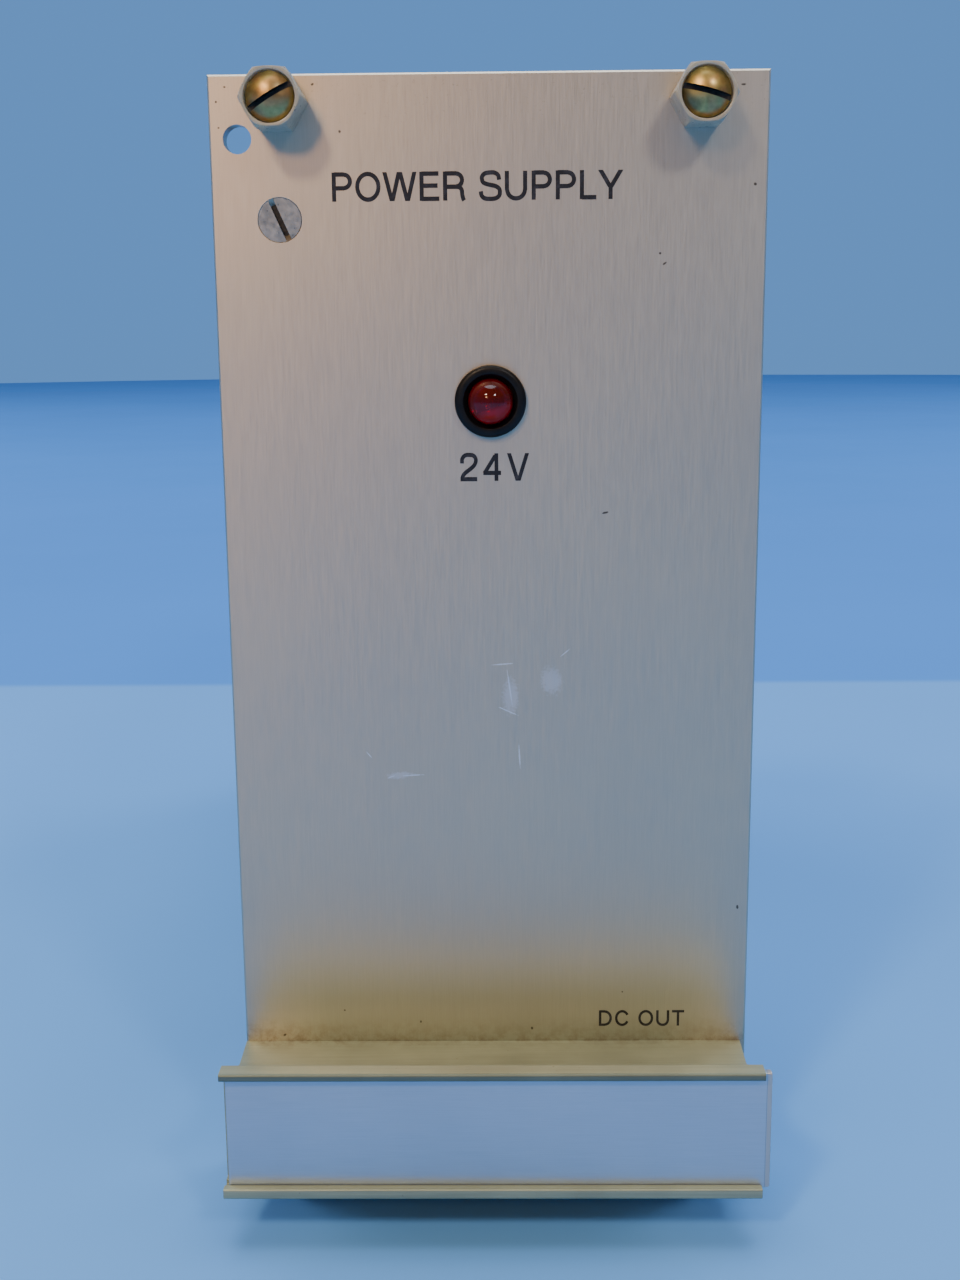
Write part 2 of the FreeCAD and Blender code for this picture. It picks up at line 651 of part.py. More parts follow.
def handle_length():
    return "(panel_width - handle_short)"


def handle():
    """Extruded pull with a web, flared flanks and two lips that hold the label strip."""
    root, waist, lip = "web_root / 2", "web_waist / 2", "handle_tall / 2"
    front = "handle_reach"
    shelf = "(handle_reach - lip_depth)"
    groove_front = "(handle_reach - lip_hook)"
    groove_back = "(handle_reach - lip_hook - strip_thick - 2 * strip_play)"
    floor = "(handle_reach - lip_hook - strip_thick - 2 * strip_play - recess_depth)"
    upper, lower = "(%s - lip_upper)" % lip, "(lip_lower - %s)" % lip
    corners = (
        ("0", "-" + root),
        ("-flare_start", "-" + waist, "-flare_radius"),
        ("-" + shelf, "-" + lip),
        ("-" + front, "-" + lip),
        ("-" + front, lower),
        ("-" + groove_front, lower),
        ("-" + groove_front, lower + " - strip_groove"),
        ("-" + groove_back, lower + " - strip_groove"),
        ("-" + groove_back, lower),
        ("-" + floor, lower),
        ("-" + floor, upper),
        ("-" + groove_back, upper),
        ("-" + groove_back, upper + " + strip_groove"),
        ("-" + groove_front, upper + " + strip_groove"),
        ("-" + groove_front, upper),
        ("-" + front, upper),
        ("-" + front, lip),
        ("-" + shelf, lip, "-flare_radius"),
        ("-flare_start", waist),
        ("0", root),
    )
    body = extruded("YZ_Plane", corners, handle_length())
    taps = [rod("screw_size / 2", "tap_depth", (across, "0", "0"), FORWARD)
            for across in ("%s + panel_width / 2" % BRACKET_X, "panel_width / 2 - %s" % BRACKET_X)]
    node("handle", cut(body, taps), ("-panel_width / 2", "0", HANDLE_UP))


def label_strip():
    """Blank strip that slides out of the lips to the right."""
    lip_front = "(handle_reach - lip_hook - strip_play)"
    tall = "(handle_tall - lip_upper - lip_lower + 2 * strip_groove - 2 * strip_play)"
    base = "(lip_lower - strip_groove + strip_play - handle_tall / 2)"
    strip = box(("%s + strip_offset - strip_inset" % handle_length(), "strip_thick", tall), ("0", "0", "0"))
    node("label_strip", strip, ("strip_inset - panel_width / 2", "-" + lip_front, "%s + %s" % (HANDLE_UP, base)))


def handle_screws():
    """Pan head screws from behind the panel; the left one also holds the lower bracket."""
    for name, across, seat in (("left", BRACKET_X, "(panel_thick + flange_thick)"),
                               ("right", "0 - " + BRACKET_X, "panel_thick")):
        screw = pan_screw("%s + tap_depth - hole_play" % seat)
        node("handle_screw_" + name, screw, (across, seat, HANDLE_UP), BACKWARD)


def pan_screw(length):
    """Slotted pan head above its seat and a shank below it, along the upright axis."""
    head = turned((
        ("0", "-(%s)" % length),
        ("screw_size / 2", "-(%s)" % length),
        ("screw_size / 2", "0"),
        ("pan_width / 2", "0"),
        ("pan_width / 2", "pan_height / 2", "pan_width / 2"),
        ("pan_width / 4", "pan_height"),
        ("0", "pan_height"),
    ))
    slot = box(("pan_width", "screw_slot", "pan_height / 2"), ("-pan_width / 2", "-screw_slot / 2", "pan_height / 2"))
    return cut(head, [slot])


# ---------------------------------------------------------------- board and brackets

def bracket_spots():
    """Screw height, the side that the arm is on, and the arm screw's height of each bracket."""
    yield "upper", "(%s - bracket_drop)" % BOARD_TOP, BOTTOM
    yield "lower", HANDLE_UP, TOP


def arm_screw_height(screw, arm):
    return "(%s + %d * (bracket_tall - flange_over - arm_tall / 2))" % (screw, arm)


def arm_screw_along():
    return "(panel_thick + arm_length - arm_screw)"


def brackets():
    """Angle brackets that join the board to the panel."""
    for name, screw, arm in bracket_spots():
        low = "(%s - flange_over)" % screw if arm == TOP else "(%s + flange_over - bracket_tall)" % screw
        arm_low = "(%s - arm_tall / 2)" % arm_screw_height(screw, arm)
        flange = box(("bracket_wide", "flange_thick", "bracket_tall"), (BOARD_FACE, "panel_thick", low))
        web = box(("arm_thick", "arm_length", "arm_tall"), (BOARD_FACE, "panel_thick", arm_low))
        thread = rod("screw_size / 2", "flange_thick", (BRACKET_X, "panel_thick", screw), BACKWARD)
        hole = rod(SCREW_HOLE, "arm_thick", (BOARD_FACE, arm_screw_along(), arm_screw_height(screw, arm)),
                   RIGHTWARD)
        node("board_bracket_" + name, cut(fuse([flange, web]), [thread, hole]))


def ear_spots():
    """Heights of the two plug screws."""
    yield "(board_margin + plug_trim + ear_axis)"
    yield "(panel_height - board_margin - plug_trim - ear_axis)"


def plug_screw_along():
    return "(%s - plug_seat / 2)" % BOARD_REAR


def circuit_board():
    """The board stands on edge; its parts are on the right."""
    front, rear = BOARD_FRONT, BOARD_REAR
    low, high = "board_margin", BOARD_TOP
    corners = ((front, low), (rear, low), (rear, high), (front, high))
    body = extruded("YZ_Plane", corners, "board_thick")
    holes = [(SCREW_HOLE, arm_screw_along(), arm_screw_height(screw, arm)) for _, screw, arm in bracket_spots()]
    holes += [(SCREW_HOLE, plug_screw_along(), high) for high in ear_spots()]
    holes += [(SCREW_HOLE,) + spot for spot in strap_spots()]
    pocket(body, "YZ_Plane", holes, reverse=True)
    node("circuit_board", body, (BOARD_LEFT, "0", "0"))


def hex_nut():
    return cut(hexagon("nut_flats", "nut_height", ("0", "0", "0")),
               [rod("screw_size / 2", "nut_height", ("0", "0", "0"))])


def board_fasteners():
    """Screws enter from the solder side, with their nuts on the brackets' arms."""
    screws, nuts = [], []
    for _, screw, arm in bracket_spots():
        high = arm_screw_height(screw, arm)
        length = "board_thick + arm_thick + nut_height"
        screws.append(put(pan_screw(length), (BOARD_LEFT, arm_screw_along(), high), LEFTWARD))
        nuts.append(put(hex_nut(), (BOARD_FACE + " + arm_thick", arm_screw_along(), high), RIGHTWARD))
    node("bracket_board_screws", group(screws))
    node("bracket_board_nuts", group(nuts))


# ---------------------------------------------------------------- rear plug

def plug():
    """Moulded shell with two rows of flat blades, screwed to the board by its ears."""
    low = "(board_margin + plug_trim)"
    long = "(%s - 2 * plug_ear)" % PLUG_LONG
    front = "(%s - plug_seat)" % BOARD_REAR
    deep = "(plug_seat + plug_reach)"
    shell = box(("plug_wide", deep, long), (BOARD_FACE, front, low + " + plug_ear"))
    well = box(("plug_wide - 2 * plug_wall", "plug_well", long + " - 2 * plug_wall"),
               (BOARD_FACE + " + plug_wall", "%s + plug_reach - plug_well" % BOARD_REAR,
                low + " + plug_ear + plug_wall"))
    ears = [box(("ear_thick", "plug_seat", "plug_ear"), (BOARD_FACE, front, place))
            for place in (low, "%s + %s - plug_ear" % (low, PLUG_LONG))]
    holes = [rod(SCREW_HOLE, "ear_thick", (BOARD_FACE, plug_screw_along(), high), RIGHTWARD)
             for high in ear_spots()]
    slots, blades, tails = [], [], []
    for index in range(BLADES):
        side = LEFT if index % 2 else RIGHT
        across = "(%s + plug_wide / 2 + %d * blade_row / 2 - blade_thick / 2)" % (BOARD_FACE, side)
        up = "(panel_height / 2 + %d * blade_pitch - blade_wide / 2)" % (index - BLADES // 2)
        size = ("blade_thick", "%s + tail_length - blade_short" % deep, "blade_wide")
        spot = (across, front + " - tail_length", up)
        slots.append(box(size, spot))
        blades.append(box(size, spot))
        tail = box(("%s - %s" % (across, BOARD_FACE), "blade_thick", "blade_wide"), (BOARD_FACE,) + spot[1:])
        tails.append(fuse([blades[-1], tail]))
    node("plug_shell", cut(fuse([shell] + ears), [well] + holes + slots))
    node("plug_blades", group(tails))


def plug_fasteners():
    screws = [put(pan_screw("board_thick + ear_thick + nut_height"),
                  (BOARD_FACE + " + ear_thick", plug_screw_along(), high), RIGHTWARD) for high in ear_spots()]
    nuts = [put(hex_nut(), (BOARD_LEFT, plug_screw_along(), high), LEFTWARD) for high in ear_spots()]
    node("plug_screws", group(screws))
    node("plug_nuts", group(nuts))


# ---------------------------------------------------------------- transformer

def on_board(along, up, off="0"):
    """A place on the parts side, from the board's front edge and its lower edge."""
    return ("(%s + %s)" % (BOARD_FACE, off), "(%s + %s)" % (BOARD_FRONT, along), "(board_margin + %s)" % up)


def centred(size, spot):
    """A box that stands on its spot in X and is centred on it in Y and Z."""
    return box(size, (spot[0], "%s - (%s) / 2" % (spot[1], size[1]), "%s - (%s) / 2" % (spot[2], size[2])))


def rounded(half_wide, half_tall, radius):
    """Corners of an upright rectangle with rounded corners, centred on the sketch's origin."""
    wide, tall = "(%s - %s)" % (half_wide, radius), "(%s - %s)" % (half_tall, radius)
    return (
        (half_wide, "-" + tall), (half_wide, tall, radius),
        (wide, half_tall), ("-" + wide, half_tall, radius),
        ("-" + half_wide, tall), ("-" + half_wide, "-" + tall, radius),
        ("-" + wide, "-" + half_tall), (wide, "-" + half_tall, radius),
    )


def transformer():
    """Laminated core, a bobbin with two windings side by side, and steel straps over the yokes."""
    along, up = "(board_depth - core_rear)", "core_up"
    hollow_x = "(core_stack / 2 + coil_play / 2)"
    hollow_z = "(core_leg + coil_play / 2)"
    spool_x = "(%s + bobbin_wall)" % hollow_x
    spool_z = "(%s + bobbin_wall)" % hollow_z
    reach_x = "(%s + coil_build)" % spool_x
    reach_z = "(%s + coil_build)" % spool_z
    long = "(core_deep - 2 * core_leg - coil_play)"
    middle = "(coil_rise + %s)" % reach_x
    base = "(%s - core_stack / 2)" % middle
    core = centred(("core_stack", "core_deep", "core_long"), on_board(along, up, base))
    windows = [centred(("core_stack", "core_deep - 2 * core_leg", "core_long / 2 - 2 * core_leg"),
                       on_board(along, "(%s + %d * core_long / 4)" % (up, side), base))
               for side in (LEFT, RIGHT)]
    node("transformer_core", cut(core, windows))
    bobbin(along, up, middle, (hollow_x, hollow_z), (spool_x, spool_z), (reach_x, reach_z), long)
    windings(along, up, middle, (spool_x, spool_z), (reach_x, reach_z), long)
    straps(along, up, base)


def bobbin(along, up, middle, hollow, spool, reach, long):
    """Moulded tube with three flanges; the end flanges stand on the board."""
    low = "(%s - %s)" % (middle, spool[0])
    pieces = [centred(("2 * " + spool[0], long, "2 * " + spool[1]), on_board(along, up, low))]
    tall, wide = "(%s + %s)" % (middle, reach[0]), "2 * " + reach[1]
    for side in (LEFT, RIGHT):
        place = "(%s + %d * (%s - bobbin_wall) / 2)" % (along, side, long)
        pieces.append(centred((tall, "bobbin_wall", wide), on_board(place, up)))
    rise = "(%s - %s)" % (middle, reach[0])
    pieces.append(centred(("2 * " + reach[0], "bobbin_wall", wide), on_board(along, up, rise)))
    bore = centred(("2 * " + hollow[0], long, "2 * " + hollow[1]),
                   on_board(along, up, "(%s - %s)" % (middle, hollow[0])))
    node("transformer_bobbin", cut(fuse(pieces), [bore]))


def windings(along, up, middle, spool, reach, long):
    """Two taped coils, one in each half of the bobbin."""
    length = "((%s - 3 * bobbin_wall) / 2)" % long
    for side, name in ((LEFT, "secondary_winding"), (RIGHT, "primary_winding")):
        spot = on_board("%s + %d * (%s + bobbin_wall) / 2 - %s / 2" % (along, side, length, length), up, middle)
        coil = put(extruded("XZ_Plane", rounded(reach[0], reach[1], "coil_build / 2"), length, reverse=True), spot)
        hollow = box(("2 * " + spool[0], length, "2 * " + spool[1]),
                     ("%s - %s" % (spot[0], spool[0]), spot[1], "%s - %s" % (spot[2], spool[1])))
        node(name, cut(coil, [hollow]))


def straps(along, up, base):
    """A steel strap over each yoke, with two feet turned in under the core."""
    outer_z = "(core_long / 2 + clamp_play + clamp_thick)"
    top = "(%s + core_stack)" % base
    bands, screws = [], []
    for yoke in (LEFT, RIGHT):
        place = "(%s + %d * (core_deep - core_leg) / 2)" % (along, yoke)
        pieces = [centred(("clamp_thick", CLAMP_WIDE, "2 * " + outer_z), on_board(place, up, top))]
        for side in (LEFT, RIGHT):
            wall = "(%s + %d * (%s - clamp_thick / 2))" % (up, side, outer_z)
            foot = "(%s + %d * (%s - clamp_foot / 2))" % (up, side, outer_z)
            pieces.append(centred((top, CLAMP_WIDE, "clamp_thick"), on_board(place, wall)))
            sole = centred(("clamp_thick", CLAMP_WIDE, "clamp_foot"), on_board(place, foot))
            hole = rod("screw_size / 2", "clamp_thick", on_board(place, foot), RIGHTWARD)
            pieces.append(cut(sole, [hole]))
            spot = (BOARD_LEFT,) + on_board(place, foot)[1:]
            screws.append(put(pan_screw("board_thick + clamp_thick + screw_slot"), spot, LEFTWARD))
        bands.append(fuse(pieces))
    node("transformer_straps", group(bands))
    node("transformer_screws", group(screws))


def strap_spots():
    """Board holes of the transformer's four screws, front to rear and bottom to top."""
    for yoke in (LEFT, RIGHT):
        along = "(board_depth - core_rear + %d * (core_deep - core_leg) / 2)" % yoke
        for side in (LEFT, RIGHT):
            outer = "(core_long / 2 + clamp_play + clamp_thick - clamp_foot / 2)"
            yield on_board(along, "(core_up + %d * %s)" % (side, outer))[1:]


# ---------------------------------------------------------------- parts on the board

def can(width, length, spot, label):
    """Aluminium can with a crimped groove near its foot, standing on the board."""
    radius, groove = width + " / 2", "%s / 30" % width
    blank = turned((
        ("0", "0"),
        ("(%s - %s)" % (radius, groove), "0"),
        (radius, groove),
        (radius, "3 * " + groove),
        ("(%s - %s)" % (radius, groove), "4 * " + groove),
        (radius, "5 * " + groove),
        (radius, "%s - %s" % (length, groove)),
        ("(%s - %s)" % (radius, groove), length),
        ("0", length),
    ))
    node(label, blank, spot, RIGHTWARD)


def capacitors():
    for name, rise in (("lower", "0"), ("upper", "can_pitch")):
        can("can_width", "can_length", on_board("can_along", "(can_up + %s)" % rise),
            "smoothing_capacitor_" + name)
    can("small_can_width", "small_can_length", on_board("small_can_along", "small_can_up"), "output_capacitor")
    block = centred(("film_tall", "film_long", "film_thick"), on_board("film_along", "film_up", "leg_wide"))
    legs = [centred(("leg_wide", "leg_wide", "leg_wide"),
                    on_board("(film_along + %d * film_long / 3)" % side, "film_up")) for side in (LEFT, RIGHT)]
    node("film_capacitor", fuse([block] + legs))


def heatsink():
    """Finned extrusion that stands on the board, its fins towards the panel."""
    corners = [("sink_base", "0"), ("sink_base", "sink_tall")]
    for index in reversed(range(FINS)):
        low = "(%d * (sink_tall - fin_thick) / %d)" % (index, FINS - 1)
        high = low + " + fin_thick"
        corners += [("0", high)] if index < FINS - 1 else []
        corners += [("-sink_fin", high), ("-sink_fin", low)]
        corners += [("0", low)] if index else []
    body = extruded("YZ_Plane", corners, "sink_high")
    spot = on_board("sink_along", "sink_up")
    middle = "(sink_up + sink_tall / 2)"
    screw = "(case_rise + tab_tall - tab_screw)"
    thread = rod("screw_size / 2", "sink_base", (screw, "0", "sink_tall / 2"), BACKWARD)
    node("heatsink", cut(body, [thread]), spot)
    rear = "(sink_along + sink_base)"
    pad = centred(("tab_tall + 1", "pad_thick", "case_wide + 1"),
                  on_board("(%s + pad_thick / 2)" % rear, middle, "case_rise - 1 / 2"))
    hole = rod("screw_size / 2", "pad_thick", on_board(rear, middle, screw), BACKWARD)
    node("insulating_pad", cut(pad, [hole]))
    return middle, screw, "(%s + pad_thick)" % rear


def pass_transistor():
    """Moulded body in front of its metal tab, held to the heatsink by one screw."""
    middle, screw, back = heatsink()
    tab = centred(("tab_tall", "tab_thick", "case_wide"),
                  on_board("(%s + tab_thick / 2)" % back, middle, "case_rise"))
    legs = [centred(("case_rise + leg_thick", "leg_thick", "leg_wide"),
                    on_board("(%s + tab_thick - leg_thick / 2)" % back, "(%s + %d * lead_pitch)" % (middle, place)))
            for place in (-1, 0, 1)]
    hole = rod("screw_size / 2", "tab_thick", on_board(back, middle, screw), BACKWARD)
    node("transistor_tab", cut(fuse([tab] + legs), [hole]))
    moulded = "(case_thick - tab_thick)"
    body = centred(("case_tall", moulded, "case_wide"),
                   on_board("(%s + tab_thick + %s / 2)" % (back, moulded), middle, "case_rise"))
    node("transistor_body", group([body]))
    bolt = pan_screw("sink_base + pad_thick + tab_thick")
    node("transistor_screw", bolt, on_board("(%s + tab_thick)" % back, middle, screw), BACKWARD)


def fuse_link():
    """Glass fuse with a metal cap at each end, sprung into two clips."""
    axis = on_board("fuse_along", "fuse_up", "fuse_rise")
    start = "%s - fuse_length / 2" % axis[1]
    inner = "(fuse_width / 2 - cap_wall)"
    glass = cut(rod(inner, "fuse_length - 2 * cap_wall", (axis[0], start + " + cap_wall", axis[2]), BACKWARD),
                [rod("%s - fuse_wall" % inner, "fuse_length", (axis[0], start, axis[2]), BACKWARD)])
    node("fuse_glass", glass)
    caps, clips = [], []
    for place, well in ((start, "cap_wall"), (start + " + fuse_length - cap_length", "0")):
        cap = rod("fuse_width / 2", "cap_length", (axis[0], place, axis[2]), BACKWARD)
        bore = rod(inner, "cap_length - cap_wall", (axis[0], "%s + %s" % (place, well), axis[2]), BACKWARD)
        caps.append(cut(cap, [bore]))
        clips.append(fuse_clip((axis[0], "%s + cap_length / 2" % place, axis[2])))
    node("fuse_caps", group(caps))
    node("fuse_clips", group(clips))


def fuse_clip(axis):
    """Sprung U that holds a cap on three sides and stands on the board."""
    half = "(fuse_width / 2 + clip_thick)"
    tall = "(fuse_rise + fuse_width / 4)"
    outer = centred((tall, "clip_wide", "2 * " + half), (BOARD_FACE, axis[1], axis[2]))
    inner = centred((tall, "clip_wide", "fuse_width"),
                    ("%s + fuse_rise - fuse_width / 2" % BOARD_FACE, axis[1], axis[2]))
    under = centred(("fuse_rise - fuse_width / 2 - clip_thick", "clip_wide", "fuse_width"),
                    (BOARD_FACE, axis[1], axis[2]))
    return cut(outer, [inner, under])


def rectifier():
    """Flat bridge rectifier on four legs, and two separate diodes."""
    spot = on_board("bridge_along", "bridge_up", "lead_rise")
    pieces = [centred(("bridge_tall", "bridge_wide", "bridge_thick"), spot)]
    for place in (-3, -1, 1, 3):
        along = "(bridge_along + %d * 2 * lead_pitch / 2)" % place
        pieces.append(centred(("lead_rise", "2 * leg_wide", "leg_wide"), on_board(along, "bridge_up")))
    node("bridge_rectifier", fuse(pieces))
    diodes = [axial("diode_width", "diode_long", "diode_reach",
                    on_board("diode_along", "(diode_up + %d * diode_pitch)" % index)) for index in range(2)]
    node("diodes", group(diodes))


def axial(width, length, reach, spot):
    """Round body just off the board, with a lead at each end bent down to it."""
    lift = "(%s + %s / 2 + leg_thick)" % (spot[0], width)
    pieces = [rod(width + " / 2", length, (lift, "%s - %s / 2" % (spot[1], length), spot[2]), BACKWARD)]
    for side in (LEFT, RIGHT):
        turn = BACKWARD if side == RIGHT else FORWARD
        pieces.append(rod("lead_width / 2", reach, (lift, spot[1], spot[2]), turn))
        foot = (spot[0], "%s + %d * (%s - lead_width / 2)" % (spot[1], side, reach), spot[2])
        pieces.append(rod("lead_width / 2", "%s / 2 + leg_thick + lead_width / 2" % width, foot, RIGHTWARD))
    return fuse(pieces)


def resistors():
    row = [axial("resistor_width", "resistor_long", "axial_reach",
                 on_board("resistor_along", "(resistor_up + %d * resistor_pitch)" % index))
           for index in range(RESISTORS)]
    node("resistors", group(row))
    block = centred(("cement_side", "cement_long", "cement_side"), on_board("cement_along", "cement_up", "lead_rise"))
    leads = [centred(("lead_rise", "leg_wide", "leg_wide"),
                     on_board("(cement_along + %d * (cement_long / 2 - leg_wide))" % side, "cement_up"))
             for side in (LEFT, RIGHT)]
    node("power_resistor", fuse([block] + leads))


def surge_arrester():
    spot = on_board("(disc_along - disc_thick / 2)", "disc_up", "(lead_rise + disc_width / 2)")
    pieces = [rod("disc_width / 2", "disc_thick", spot, BACKWARD)]
    for side in (LEFT, RIGHT):
        up = "(disc_up + %d * lead_pitch)" % side
        pieces.append(rod("lead_width / 2", "lead_rise + disc_width / 4", on_board("disc_along", up), RIGHTWARD))
    node("surge_arrester", fuse(pieces))


def control_chip():
    """Dual in-line package with its legs splayed to the board."""
    body = centred(("chip_thick", "chip_wide", "chip_long"),
                   on_board("chip_along", "(chip_up + chip_long / 2)", "leg_wide"))
    pieces = [body]
    for index in range(CHIP_LEGS):
        up = "(chip_up + chip_long / 2 + %d * chip_pitch)" % (index - CHIP_LEGS // 2)
        high = "(leg_wide + chip_thick / 2 + leg_thick / 2)"
        bar = centred(("leg_thick", "chip_wide + 2 * leg_wide + 2 * leg_thick", "leg_wide"),
                      on_board("chip_along", up, "(%s - leg_thick)" % high))
        pieces.append(bar)
        for side in (LEFT, RIGHT):
            along = "(chip_along + %d * (chip_wide / 2 + leg_wide + leg_thick / 2))" % side
            pieces.append(centred((high, "leg_thick", "leg_wide"), on_board(along, up)))
    node("control_chip", fuse(pieces))


def trimmer():
    """Square output-voltage trimmer whose screw faces away from the board."""
    spot = on_board("trimmer_along", "trimmer_up")
    body = centred(("trimmer_thick", "trimmer_side", "trimmer_side"), spot)
    seat_x = "%s + trimmer_thick - rotor_depth" % spot[0]
    seat = rod("(rotor_width + rotor_play) / 2", "rotor_depth", (seat_x,) + spot[1:], RIGHTWARD)
    node("trimmer_body", cut(body, [seat]))
    rotor = rod("rotor_width / 2", "rotor_depth", ("0", "0", "0"))
    slot = box(("rotor_width", "rotor_slot", "rotor_depth / 2"),
               ("-rotor_width / 2", "-rotor_slot / 2", "rotor_depth / 2"))
    node("trimmer_screw", cut(rotor, [slot]), (seat_x,) + spot[1:], RIGHTWARD)


def build():
    fill_sheet()
    front_panel()
    captive_screws()
    bracket_screw()
    lamp()
    lamp_wires()
    handle()
    label_strip()
    handle_screws()
    brackets()
    circuit_board()
    board_fasteners()
    plug()
    plug_fasteners()
    transformer()
    capacitors()
    pass_transistor()
    fuse_link()
    rectifier()
    resistors()
    surge_arrester()
    control_chip()
    trimmer()


def check():
    """Stop before anything is written if an object failed or a sub-part isn't sound."""
    failed = [obj.Label for obj in doc.Objects if {"Invalid", "Error"} & set(obj.State)]
    if failed:
        raise RuntimeError("failed objects: %s" % failed)
    for obj in nodes:
        if obj.Shape.isNull() or not obj.Shape.isValid() or not obj.Shape.Solids:
            raise RuntimeError("unsound sub-part: " + obj.Label)


def export():
    os.makedirs("parts", exist_ok=True)
    for obj in nodes:
        obj.Shape.exportStep(os.path.join("parts", obj.Label + ".step"))


build()
doc.recompute()
check()
export()
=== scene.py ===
"""Looks of a plug-in power supply card: 3 units high, 12 pitches wide.

Lengths in this file are in millimetres unless a name ends in _m, and every mesh is written in metres.
X runs to the right as seen from the front, Y from the front to the rear, and Z up.
"""
import math

import bmesh
import bpy
import numpy as np
from mathutils import Matrix, Vector


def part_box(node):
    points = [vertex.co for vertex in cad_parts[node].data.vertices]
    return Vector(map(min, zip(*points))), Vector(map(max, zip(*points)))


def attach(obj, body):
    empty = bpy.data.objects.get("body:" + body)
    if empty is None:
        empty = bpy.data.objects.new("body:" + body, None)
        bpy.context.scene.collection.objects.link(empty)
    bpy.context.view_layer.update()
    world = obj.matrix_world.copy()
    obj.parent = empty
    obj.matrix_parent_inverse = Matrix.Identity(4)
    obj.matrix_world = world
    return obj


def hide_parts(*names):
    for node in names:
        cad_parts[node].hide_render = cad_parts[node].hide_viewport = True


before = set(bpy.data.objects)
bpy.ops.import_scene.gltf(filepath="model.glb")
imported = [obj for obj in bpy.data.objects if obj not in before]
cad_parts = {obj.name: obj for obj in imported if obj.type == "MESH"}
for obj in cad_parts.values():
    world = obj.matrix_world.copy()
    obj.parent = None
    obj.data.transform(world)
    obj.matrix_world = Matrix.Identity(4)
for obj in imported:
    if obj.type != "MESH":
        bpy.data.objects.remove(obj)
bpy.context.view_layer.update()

bl_info = {
    "name": "Plug-in Power Supply Card",
    "version": (1, 0, 0),
    "blender": (4, 5, 0),
    "location": "3D View > Sidebar > Card",
    "description": "Builds the finished surfaces and materials of a rack power supply card",
    "category": "Add Mesh",
}

MM = 0.001
LEFT, RIGHT = -1, 1
CORNERS = ("lower_left", "lower_right", "upper_left", "upper_right")

# Rows are the directions of a piece's own x, y and z axes once it is in place.
FORWARD = np.array(((1, 0, 0), (0, 0, 1), (0, -1, 0)), float)
BACKWARD = np.array(((1, 0, 0), (0, 0, -1), (0, 1, 0)), float)
RIGHTWARD = np.array(((0, 0, -1), (0, 1, 0), (1, 0, 0)), float)
LEFTWARD = np.array(((0, 0, 1), (0, 1, 0), (-1, 0, 0)), float)
UPRIGHT = np.eye(3)


# ---------------------------------------------------------------- measures

def span(node):
    """Lowest and highest corner of a CAD node, in millimetres."""
    low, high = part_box(node)
    return np.array(low) / MM, np.array(high) / MM


def middle(node):
    low, high = span(node)
    return (low + high) / 2


PANEL_LOW, PANEL_HIGH = span("front_panel")
BOARD_LOW, BOARD_HIGH = span("circuit_board")
FACE = PANEL_LOW[1]
SOLDER_SIDE, PARTS_SIDE = BOARD_LOW[0], BOARD_HIGH[0]


# ---------------------------------------------------------------- surfaces

def cells(rows, cols, wrap_cols=True, wrap_rows=False):
    """Corners of every cell of a grid; a wrapped direction joins its last line to its first."""
    row = np.arange(rows if wrap_rows else rows - 1)[:, None]
    col = np.arange(cols if wrap_cols else cols - 1)[None, :]
    down, across = (row + 1) % rows, (col + 1) % cols
    corners = (row * cols + col, row * cols + across, down * cols + across, down * cols + col)
    return np.stack(np.broadcast_arrays(*corners), axis=-1).reshape(-1, 4)


